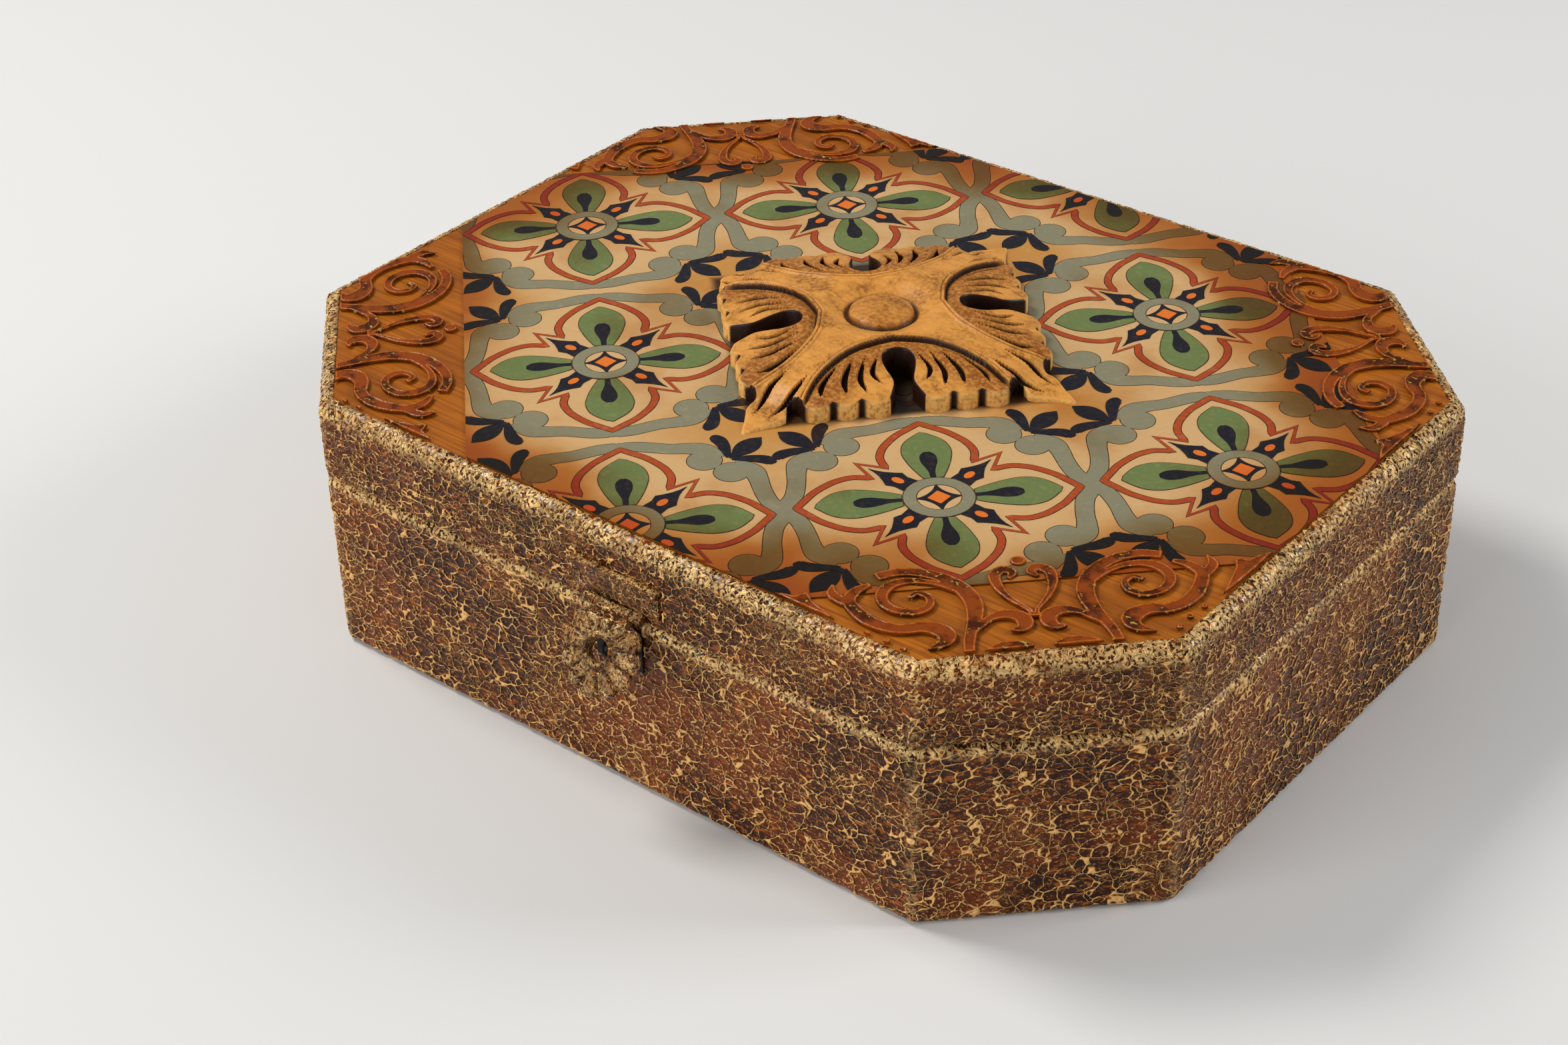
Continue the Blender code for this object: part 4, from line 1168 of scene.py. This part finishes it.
# Painted shade beside an arch, in its groove and at its step: place, half width and darkness
arch_shade_lines = ((0.00130, 0.00045, 0.50), (0.00005, 0.00022, 0.30))
lobe_bulge_share = 0.038
lobe_steps = 10
bulge_power = 1.3
blunt_reach = 0.0500
blunt_share = 0.62
# Places on the rosette are (outwards, sideways) in shares of its half width, for half of one side.
keyhole_shares = [
    (0.520, 0.000), (0.536, 0.055), (0.583, 0.088), (0.650, 0.095), (0.725, 0.080),
    (0.790, 0.060), (0.838, 0.057), (0.887, 0.071), (0.940, 0.093), (0.975, 0.111),
]
lobe_stops_shares = [(0.975, 0.111), (0.958, 0.285), (0.957, 0.464), (0.965, 0.642)]
notch_shares = [(0.965, 0.642), (0.920, 0.655), (0.860, 0.690), (0.872, 0.735), (0.955, 0.758)]
notch_depth_shares = (0.45, 1.0, 0.45, 1.0)
tip_shares = [(0.955, 0.758), (0.985, 0.800), (1.008, 0.900), (1.050, 1.030)]
arch_shares = [
    (1.120, 0.740), (0.966, 0.690), (0.845, 0.634), (0.700, 0.546), (0.556, 0.406),
    (0.444, 0.229), (0.386, 0.000),
]
# Start, middle and end of each gouge cut, and its width in metres
gouge_shares = [
    ((0.570, 0.122), (0.725, 0.180), (0.833, 0.143), 0.0017),
    ((0.575, 0.203), (0.758, 0.262), (0.894, 0.246), 0.0019),
    ((0.580, 0.280), (0.758, 0.361), (0.894, 0.370), 0.0021),
    ((0.585, 0.367), (0.758, 0.495), (0.884, 0.530), 0.0021),
    ((0.690, 0.590), (0.830, 0.716), (0.935, 0.857), 0.0020),
]


def rosette_outline():
    """The edge of all four sides, with one tip carved blunt."""
    outline = []
    for quarter, depth_share in enumerate(notch_depth_shares):
        side = rosette_side(depth_share)
        side = [(rosette_half * out, rosette_half * across) for out, across in side]
        outline += turned(side, quarter)
    blunt = []
    for x, y in outline:
        over = max(0.0, (y - x) / sqrt(2) - blunt_reach) * blunt_share / sqrt(2)
        blunt.append((x + over, y - over))
    return blunt


def rosette_side(depth_share):
    """One side's edge, from corner to corner, with its notches cut to a share of their depth."""
    half = closed_curve(keyhole_shares, 3)[:-1]
    for start, end in zip(lobe_stops_shares, lobe_stops_shares[1:]):
        for step in range(lobe_steps):
            share = step / lobe_steps
            bulge = lobe_bulge_share * sin(pi * share) ** bulge_power
            half.append((
                start[0] + (end[0] - start[0]) * share + bulge,
                start[1] + (end[1] - start[1]) * share))
    mouth = notch_shares[0][0]
    notch = [(mouth + (out - mouth) * depth_share, across) for out, across in notch_shares[:-1]]
    half += closed_curve(notch + notch_shares[-1:], 3)[:-1]
    half += closed_curve(tip_shares, 3)
    return [(out, -across) for out, across in half[:0:-1]] + half


def ease(value, start, end):
    share = np.clip((value - start) / (end - start), 0.0, 1.0)
    return share * share * (3 - 2 * share)


def ridge_shape(distance, half):
    """A rounded ridge's rise, from 1 on its line to 0 at half a width away."""
    return np.clip(1 - (distance / half) ** 2, 0.0, 1.0) ** 0.6


def rosette_field(u, wide, reach):
    """The rosette's surface before it is carved: domed, dished and low at its tips."""
    square = (u ** 4 + wide ** 4) ** (1 / 4)
    fall = (square - flat_share * rosette_half) / ((1 - flat_share) * rosette_half)
    field = crown_height - edge_drop * np.clip(fall, 0.0, 2.0) ** fall_power
    sag = ease(reach, 1.00 * rosette_half, 1.20 * rosette_half)
    sag = sag * ease(wide, 0.64 * rosette_half, 0.76 * rosette_half)
    sag = sag * (1 - 0.4 * ease(reach, 1.25 * rosette_half, 1.50 * rosette_half))
    dish = (crown_height - dish_height) * (1 - ease(reach, dish_inner, dish_outer))
    return field - tip_drop * sag - dish


def arch_depth(u, v):
    """How far each point lies inwards of its side's arch."""
    half = closed_curve(arch_shares, 6)
    arch = np.array(half + [(out, -across) for out, across in half[-2::-1]]) * rosette_half
    points = np.column_stack([u, v])
    gap = edge_distance(points, arch[:-1], arch[1:])
    return np.where(inside(points, [tuple(point) for point in arch]), gap, -gap)


def gouge_cuts(u, v):
    """How deep each point lies in a gouge's cut, from 0 to 1."""
    cut = np.zeros(len(u))
    for start, middle, end, width in gouge_shares:
        line = np.array(closed_curve([start, middle, end], 8)) * rosette_half
        for sign in (-1, 1):
            nearest = np.full(len(u), 1.0)
            along = np.zeros(len(u))
            for place, part in zip(line, np.linspace(0.0, 1.0, len(line))):
                away = np.hypot(u - place[0], v * sign - place[1])
                closer = away < nearest
                nearest = np.where(closer, away, nearest)
                along = np.where(closer, part, along)
            spread = width / 2 * np.sin(pi * np.clip(along, 0.02, 0.98)) ** 0.6
            cut = np.maximum(cut, np.clip(1 - (nearest / spread) ** 2, 0.0, 1.0))
    return cut


def roughness(points, *waves):
    """Smooth noise for each point; each wave is its rate, its level and its share."""
    return np.array([
        sum(share * noise.noise(Vector((x * rate, y * rate, high))) for rate, high, share in waves)
        for x, y in points])


def rosette_top(points, distance):
    """Carved surface of the rosette in its own frame, with painted shade in its cuts, moat, recessed
    walls and arch grooves.
    """
    x = points[:, 0]
    y = points[:, 1]
    reach = np.hypot(x, y)
    turn = -np.rint(np.arctan2(y, x) / (pi / 2)) * pi / 2
    u = x * np.cos(turn) - y * np.sin(turn)
    v = x * np.sin(turn) + y * np.cos(turn)
    wide = np.abs(v)
    inwards = arch_depth(u, v)
    fade = 1 - ease(u, 0.86 * rosette_half, 1.0 * rosette_half)
    step = np.exp(-np.maximum(inwards - fan_step_place, 0.0) / fan_step_fade)
    sunk = fan_sink + fan_step * step - pillow_rise * ease(inwards, pillow_start, pillow_end)
    height = rosette_field(u, wide, reach)
    height = height - sunk * ease(inwards, fan_start, fan_full) * (0.35 + 0.65 * fade)
    for place, half_width, rise in arch_ridges:
        height = height + rise * fade * ridge_shape(inwards - place, half_width)
    cut = gouge_cuts(u, v)
    height = height - gouge_depth * cut
    dome = dish_height + boss_rise * np.sqrt(np.clip(1 - (reach / boss_radius) ** 2, 0.0, 1.0))
    height = np.where(reach < boss_radius, dome, height)
    moat = ridge_shape(reach - boss_radius - moat_place, moat_half)
    height = height - moat_depth * moat
    height = height - edge_round_drop * np.clip(1 - distance / edge_round, 0.0, 1.0) ** 2
    height = height + tool_mark_depth * roughness(points, *tool_marks)
    arch_shades = [
        darkness * ridge_shape(inwards - place, half_width) * fade
        for place, half_width, darkness in arch_shade_lines]
    # Side walls of the recesses get painted shade.
    side = 1 - ease(distance, 0.00005, 0.0006)
    recess = ease(keyhole_side_share * rosette_half - u, keyhole_side_fade, keyhole_side_full)
    recess = recess * (1 - ease(wide, keyhole_side_half, keyhole_side_end))
    # Painted shade: deepest in the cuts, also in the moat, on recessed walls and beside the arches.
    dark = np.maximum.reduce([cut, moat_shadow * moat, side * recess, *arch_shades])
    shade = ease(inwards, 0.0, 0.003) * (1 - ease(inwards, 0.008, 0.014))
    boss = 1 - ease(reach, boss_radius + boss_stain_start, boss_radius + boss_stain_end)
    edge = (1 - ease(distance, 0.0, rubbed_edge)) * (1 - recess)
    marks = {"hollow_shade": dark, "lip": edge, "shade": np.maximum(shade, boss_stain * boss)}
    return level + height, marks


# Noise in the carved wood, in waves per metre before it is stretched along the grain
carved_line_scale = 130.0
carved_upright_scale = 160.0
carved_cloud_scale = 110.0
carved_speck_scale = 900.0
carved_line_stretch = (1.0, 5.0, 5.0)
carved_upright_stretch = (6.0, 6.0, 0.4)
carved_bump = 0.00025


def carved_material():
    """Golden brown wood with painted shade in its cuts and recesses, and upright grain on its sides.
    """
    material, tree = new_material(
        "carved_wood", 0.42, coat=0.06, coat_roughness=0.10, specular=0.20)
    place = tree.place()
    wall = tree.fade(tree.upward(), 0.55, 0.25)
    lines = tree.vector("MULTIPLY", place, carved_line_stretch)
    lines = tree.noise(lines, carved_line_scale, 4.0, 0.7)
    upright = tree.vector("MULTIPLY", place, carved_upright_stretch)
    upright = tree.noise(upright, carved_upright_scale, 3.0, 0.7)
    cloud = tree.noise(place, carved_cloud_scale, 6.0, 0.7)
    speck = tree.noise(place, carved_speck_scale, 5.0)
    body = tree.mix(tree.fade(lines, 0.45, 0.72, 0.0, 0.30), looks().carving, looks().wood_dark)
    smear = tree.fade(cloud, 0.42, 0.68, 0.08, 0.85)
    smear = tree.times(smear, tree.fade(speck, 0.38, 0.62, 0.35, 1.0))
    body = tree.mix(smear, body, looks().carving_smear)
    worn = tree.times(tree.mark("shade"), tree.fade(speck, 0.32, 0.62, 0.30, 0.80))
    body = tree.mix(worn, body, looks().wood_dark)
    side = tree.fade(upright, 0.40, 0.68, 0.0, 0.75)
    body = tree.mix(wall, body, tree.mix(side, looks().carving, looks().wood_dark))
    edge = tree.times(tree.mark("lip"), tree.fade(speck, 0.3, 0.6))
    body = tree.mix(edge, body, looks().carving_edge)
    # Painted shade in the cuts, the moat, recessed walls and arch grooves.
    body = tree.mix(tree.fade(tree.mark("hollow_shade"), 0.04, 0.50), body, looks().carving_painted_shade)
    tree.put("Base Color", body)
    tree.bump(tree.math("ADD", tree.times(lines, 0.6), speck), 0.35, carved_bump)
    return material


class KEEPSAKE_OT_rosette(bpy.types.Operator):
    """Carve the rosette"""

    bl_idname = "keepsake.rosette"
    bl_label = "Carved Rosette"

    def execute(self, context):
        piece = raised_piece(
            "rosette", [[rosette_outline()]], looks().carving_spacing, level - seat_depth,
            rosette_top)
        piece.data.transform(
            Matrix.Translation((rosette_x, rosette_y, 0.0))
            @ Matrix.Rotation(rosette_turn, 4, "Z"))
        settle(piece, carved_material(), "lid", "carved_wood", "carved_rosette")
        return {"FINISHED"}


# Raised scrolls


stencil_size = 0.100
stencil_length = 0.104
relief_layout = [
    ("front_right", 1, -0.0009, -0.0004), ("back_right", 3, 0.0040, -0.0040),
    ("back_left", 5, 0.0015, -0.0025), ("front_left", 7, -0.0028, -0.0042),
]
# Scrollwork, in shares of the stencil from the middle of the cut corner: x, y and half width
scroll_shares = [
    [(0.165, 0.030, 0.012), (0.158, 0.080, 0.014), (0.146, 0.125, 0.015), (0.131, 0.175, 0.019),
     (0.126, 0.233, 0.022), (0.144, 0.293, 0.021), (0.183, 0.340, 0.018), (0.233, 0.367, 0.016),
     (0.282, 0.373, 0.015), (0.324, 0.360, 0.014)],
    [(0.155, 0.280, 0.006), (0.190, 0.312, 0.008), (0.229, 0.330, 0.010), (0.270, 0.334, 0.013),
     (0.303, 0.319, 0.015), (0.322, 0.287, 0.015), (0.319, 0.250, 0.014), (0.293, 0.220, 0.013),
     (0.253, 0.210, 0.012), (0.223, 0.231, 0.011), (0.220, 0.265, 0.010), (0.243, 0.284, 0.009),
     (0.263, 0.268, 0.007)],
    [(0.148, 0.108, 0.006), (0.121, 0.138, 0.009), (0.103, 0.159, 0.011), (0.080, 0.171, 0.014),
     (0.052, 0.172, 0.018), (0.030, 0.156, 0.020), (0.027, 0.130, 0.019), (0.042, 0.112, 0.012),
     (0.062, 0.112, 0.003)],
    [(0.033, 0.313, 0.005), (0.022, 0.336, 0.013), (0.040, 0.351, 0.015), (0.062, 0.331, 0.015),
     (0.062, 0.289, 0.013), (0.048, 0.244, 0.009), (0.026, 0.208, 0.007), (0.009, 0.183, 0.006),
     (0.005, 0.158, 0.008)],
    [(0.342, 0.333, 0.007), (0.376, 0.312, 0.014), (0.396, 0.276, 0.016), (0.386, 0.235, 0.018),
     (0.364, 0.194, 0.019), (0.330, 0.162, 0.018), (0.292, 0.147, 0.018), (0.253, 0.150, 0.020),
     (0.220, 0.138, 0.024), (0.203, 0.112, 0.023), (0.213, 0.083, 0.016), (0.249, 0.063, 0.003)],
    [(0.424, 0.344, 0.003), (0.430, 0.310, 0.013), (0.414, 0.282, 0.014), (0.398, 0.265, 0.012)],
    [(0.022, 0.046, 0.003), (0.045, 0.052, 0.013), (0.075, 0.052, 0.018), (0.105, 0.046, 0.014),
     (0.132, 0.036, 0.003)],
]
paste_leaf_shares = [
    (0.424, 0.184), (0.470, 0.228), (0.521, 0.279), (0.574, 0.338), (0.530, 0.322),
    (0.512, 0.310), (0.483, 0.322), (0.476, 0.285), (0.450, 0.235),
]
dot_shares = [(0.373, 0.144), (0.334, 0.109), (0.302, 0.073)]
dot_radius_share = 0.0080
bead_shares = (0.0, 0.383)
bead_radius_share = 0.0180
relief_margin = 0.0038
relief_body = 0.00048
relief_rise = 0.00020
lip_place = 0.00028
lip_half = 0.00030
relief_rough = 0.00012
relief_edge = 0.00004
relief_rough_rate = 420
paste_cloud_scale = 150.0
paste_speck_scale = 800.0
paste_bump_scale = 900.0
paste_bump = 0.0002


def scroll_loops(side, slide, reach):
    """Outlines of one corner's scrollwork, set along its cut corner and trimmed to the lid."""
    corners = wall_corners(0.0)
    middle = (corners[side] + corners[(side + 1) % 8]) / 2
    run = (corners[(side + 1) % 8] - corners[side]).normalized()
    inwards = Vector((-run.y, run.x))
    loops = []
    for mirror in (-1, 1):
        for points in scroll_shares:
            loops.append(stroke([(mirror * x, y, half) for x, y, half in points], 5))
        loops.append([(mirror * x, y) for x, y in paste_leaf_shares])
        for x, y in dot_shares:
            loops.append(round_outline((mirror * x, y), dot_radius_share, 16))
    loops.append(round_outline(bead_shares, bead_radius_share, 24))
    placed = []
    limit = [tuple(corner) for corner in wall_corners(-relief_margin)]
    for loop in loops:
        points = [
            tuple(
                middle + run * (slide + stencil_length * x) + inwards * (reach + stencil_size * y))
            for x, y in loop]
        points = trimmed(points, limit)
        if points:
            placed.append(points)
    return placed


def scroll_top(points, distance):
    """Paste with raised lips where the stencil was lifted away."""
    lip = ridge_shape(distance - lip_place, lip_half)
    rough = roughness(points, (relief_rough_rate, 2.0, 1.0))
    height = relief_body + relief_rise * lip + relief_rough * rough
    height = np.where(distance < relief_edge, relief_body, height)
    return level + height, {"lip": lip}


def scroll_material():
    """Amber paste, darker where glaze lies in it, with greenish gold flecks."""
    material, tree = new_material(
        "scroll_paste", 0.30, coat=0.06, coat_roughness=0.05, specular=0.12)
    place = tree.place()
    cloud = tree.noise(place, paste_cloud_scale, 4.0, 0.6)
    speck = tree.noise(place, paste_speck_scale)
    body = tree.mix(tree.fade(cloud, 0.42, 0.62), looks().relief, looks().relief_dark)
    lip = tree.fade(tree.mark("lip"), 0.3, 0.9)
    edge = tree.times(lip, tree.fade(speck, 0.25, 0.60, 0.15, 0.75))
    body = tree.mix(edge, body, looks().relief_lip)
    fleck = tree.times(tree.fade(speck, 0.60, 0.68), tree.fade(cloud, 0.50, 0.58))
    tree.put("Base Color", tree.mix(fleck, body, looks().relief_fleck))
    tree.bump(tree.noise(place, paste_bump_scale, 3.0), 0.35, paste_bump)
    return material


class KEEPSAKE_OT_scrolls(bpy.types.Operator):
    """Lay the raised scrolls at the four cut corners"""

    bl_idname = "keepsake.scrolls"
    bl_label = "Raised Scrolls"

    def execute(self, context):
        spacing = looks().relief_spacing
        paste = scroll_material()
        for name, side, slide, reach in relief_layout:
            groups = [[loop] for loop in scroll_loops(side, slide, reach)]
            piece = raised_piece("scrolls_" + name, groups, spacing, level - seat_depth, scroll_top)
            leaf = "relief_leaf_" + name
            stands_for = ("relief_scroll_" + name, leaf + "_a", leaf + "_b")
            settle(piece, paste, "lid", "relief_paste", *stands_for)
        return {"FINISHED"}


# Latch and hinges


latch_x = 0.0070
pivot_y = -0.1120
pivot_z = 0.0550
hasp_rest = radians(30)
hasp_back = 0.00065
hasp_face = 0.00075
hasp_radius = 0.0121
hasp_drop = 0.0110
hasp_hole = 0.0031
hasp_lobes = 9
hasp_lobe_steps = 10
scallop_depth = 0.0012
neck_top = 0.0021
flute_depth = 0.0009
flute_start = 0.0008
flute_full_share = 0.6
shell_dome = 0.0010
hole_lip_rise = 0.0005
hole_lip_half = 0.0007
shell_edge_drop = 0.0005
shell_edge_round = 0.0008
shell_rough = 0.0002
shell_rough_rate = 700
shell_cell = 0.0016
shell_darkness = 0.25
latch_cell = 0.0018
latch_darkness = 0.40
tarnish_scale = 260.0
tarnish_bump = 0.0002


def shell_sweep():
    """Where the scalloped edge starts, and how far round it goes."""
    start = pi + asin((neck_top - hasp_drop) / hasp_radius)
    return start, 3 * pi - 2 * start


def shell_outline():
    """The hasp seen from the front, from its pivot down, with a scalloped round below the neck."""
    start, sweep = shell_sweep()
    outline = []
    for step in range(hasp_lobes * hasp_lobe_steps + 1):
        angle = start + sweep * step / (hasp_lobes * hasp_lobe_steps)
        radius = hasp_radius - scallop_depth * (1 - abs(sin(pi * step / hasp_lobe_steps)) ** 0.7)
        outline.append((radius * cos(angle), -hasp_drop + radius * sin(angle)))
    return outline


def shell_top(points, distance):
    """Flutes that run out from the hole to the scalloped edge of a domed shell."""
    start, sweep = shell_sweep()
    x = points[:, 0]
    y = points[:, 1] + hasp_drop
    reach = np.hypot(x, y)
    angle = np.mod(np.arctan2(y, x) - start, 2 * pi)
    flute = np.abs(np.sin(pi * hasp_lobes * angle / sweep)) ** 0.6
    fade = ease(reach, hasp_hole + flute_start, flute_full_share * hasp_radius)
    height = hasp_face + shell_dome * (1 - (reach / hasp_radius) ** 2)
    height = height - flute_depth * (1 - flute) * fade
    height = height + hole_lip_rise * ridge_shape(reach - hasp_hole - hole_lip_half, hole_lip_half)
    height = height - shell_edge_drop * (1 - ease(distance, 0.0, shell_edge_round))
    height = height + shell_rough * roughness(points, (shell_rough_rate, 1.0, 1.0))
    # Flute valleys get painted shade; flute tops get gilding and painted highlight.
    return height, {"hollow_shade": (1 - flute) * fade, "rim": 0.5 * flute * fade}


class KEEPSAKE_OT_hasp(bpy.types.Operator):
    """Shape the latch's fluted shell over the hasp"""

    bl_idname = "keepsake.hasp"
    bl_label = "Latch Shell"

    def execute(self, context):
        hole = round_outline((0.0, -hasp_drop), hasp_hole, 40)
        piece = raised_piece(
            "latch_shell", [[shell_outline(), hole]], looks().relief_spacing, -hasp_back, shell_top)
        piece.data.transform(
            Matrix.Translation((latch_x, pivot_y, pivot_z))
            @ Matrix.Rotation(-hasp_rest, 4, "X") @ Matrix.Rotation(pi / 2, 4, "X"))
        material = coat_material("shell_coat", shell_cell, shell_darkness, swept=False)
        settle(piece, material, "hasp", "latch_metal")
        return {"FINISHED"}


class KEEPSAKE_OT_metal(bpy.types.Operator):
    """Paint the latch, paint the knob and catch plate near-black as painted shadow, and age the
    hinges
    """

    bl_idname = "keepsake.metal"
    bl_label = "Latch and Hinges"

    def execute(self, context):
        latch = coat_material("latch_coat", latch_cell, latch_darkness, swept=False)
        brass, tree = new_material("hinge_brass", 0.34, metallic=1.0)
        cloud = tree.noise(tree.place(), tarnish_scale, 4.0)
        tarnish = tree.fade(cloud, 0.45, 0.70, 0.0, 0.6)
        tree.put("Base Color", tree.mix(tarnish, looks().brass, looks().brass_dark))
        tree.bump(cloud, 0.15, tarnish_bump)
        # The knob and catch plate behind the hasp are painted near-black as painted shadow of the
        # hasp.
        knob, tree = new_material("knob_painted_shadow", 0.45, specular=0.2)
        tree.put("Base Color", looks().knob)
        repaint([name for name in nodes if name.startswith("latch")], latch)
        repaint([name for name in nodes if name.startswith(("latch_knob", "catch"))], knob)
        repaint([name for name in nodes if name.startswith("hinge")], brass)
        return {"FINISHED"}


# Stage


camera_azimuth = radians(39.820)
camera_elevation = radians(33.405)
camera_roll = radians(-1.583)
camera_distance = 0.65489
camera_target = (0.03569, -0.08105, 0.075)
camera_lens = 62.564
camera_sensor = 36.0
camera_near = 0.01
light_target = (0.0, 0.0, 0.05)
# Each light's name, place, size, power in watts and colour
lights = (
    ("key", (-0.92, -0.20, 1.30), (0.5, 0.5), 13.5, (1.0, 0.97, 0.93)),
    ("back", (0.95, 0.75, 0.80), (0.5, 0.5), 7.5, (1.0, 1.0, 1.0)),
    ("fill", (-0.30, -1.42, 0.75), (1.2, 0.8), 9.5, (1.0, 1.0, 1.0)),
)
world_colour = (0.92, 0.93, 0.95, 1.0)
world_strength = 0.26
floor_size = 6.0


def add_light(name, place, size, power, warmth):
    deselect()
    bpy.ops.object.light_add(type="AREA", location=place)
    lamp = bpy.context.object
    lamp.name = name
    lamp.data.shape = "RECTANGLE"
    lamp.data.size = size[0]
    lamp.data.size_y = size[1]
    lamp.data.energy = power
    lamp.data.color = warmth
    aim = Vector(light_target) - Vector(place)
    lamp.rotation_euler = aim.to_track_quat("-Z", "Y").to_euler()


class KEEPSAKE_OT_stage(bpy.types.Operator):
    """Set the floor, the lights and the camera"""

    bl_idname = "keepsake.stage"
    bl_label = "Stage"

    def execute(self, context):
        scene = context.scene
        scene.view_settings.view_transform = "Standard"
        deselect()
        bpy.ops.mesh.primitive_plane_add(size=floor_size, location=(0.0, 0.0, 0.0))
        floor = bpy.context.object
        floor.name = "floor"
        material, tree = new_material("pale_floor", 0.9)
        tree.put("Base Color", looks().floor)
        floor.data.materials.append(material)
        for light in lights:
            add_light(*light)
        world = bpy.data.worlds.new("studio")
        world.use_nodes = True
        background = world.node_tree.nodes["Background"]
        background.inputs["Color"].default_value = world_colour
        background.inputs["Strength"].default_value = world_strength
        scene.world = world
        deselect()
        bpy.ops.object.camera_add()
        camera = bpy.context.object
        camera.name = "view"
        camera.data.lens = camera_lens
        camera.data.sensor_width = camera_sensor
        camera.data.clip_start = camera_near
        camera.matrix_world = (
            Matrix.Translation(camera_target)
            @ Matrix.Rotation(camera_azimuth, 4, "Z")
            @ Matrix.Rotation(pi / 2 - camera_elevation, 4, "X")
            @ Matrix.Rotation(camera_roll, 4, "Z")
            @ Matrix.Translation((0.0, 0.0, camera_distance)))
        scene.camera = camera
        return {"FINISHED"}


class KEEPSAKE_PT_panel(bpy.types.Panel):
    bl_idname = "KEEPSAKE_PT_panel"
    bl_label = "Keepsake Box"
    bl_space_type = "VIEW_3D"
    bl_region_type = "UI"
    bl_category = "Keepsake Box"

    def draw(self, context):
        for step in steps_in_order:
            self.layout.operator(step.bl_idname)
        for name in KeepsakeLooks.__annotations__:
            self.layout.prop(context.scene.keepsake_looks, name)


steps_in_order = (
    KEEPSAKE_OT_stage, KEEPSAKE_OT_wood, KEEPSAKE_OT_coat, KEEPSAKE_OT_print,
    KEEPSAKE_OT_rosette, KEEPSAKE_OT_scrolls, KEEPSAKE_OT_metal, KEEPSAKE_OT_hasp,
)
classes = (KeepsakeLooks, *steps_in_order, KEEPSAKE_PT_panel)


def register():
    for item in classes:
        bpy.utils.register_class(item)
    bpy.types.Scene.keepsake_looks = PointerProperty(type=KeepsakeLooks)


def unregister():
    del bpy.types.Scene.keepsake_looks
    for item in reversed(classes):
        bpy.utils.unregister_class(item)


def main():
    register()
    bpy.ops.keepsake.stage()
    bpy.ops.keepsake.wood()
    bpy.ops.keepsake.coat()
    bpy.ops.keepsake.print()
    bpy.ops.keepsake.rosette()
    bpy.ops.keepsake.scrolls()
    bpy.ops.keepsake.metal()
    bpy.ops.keepsake.hasp()


if __name__ == "__main__":
    main()
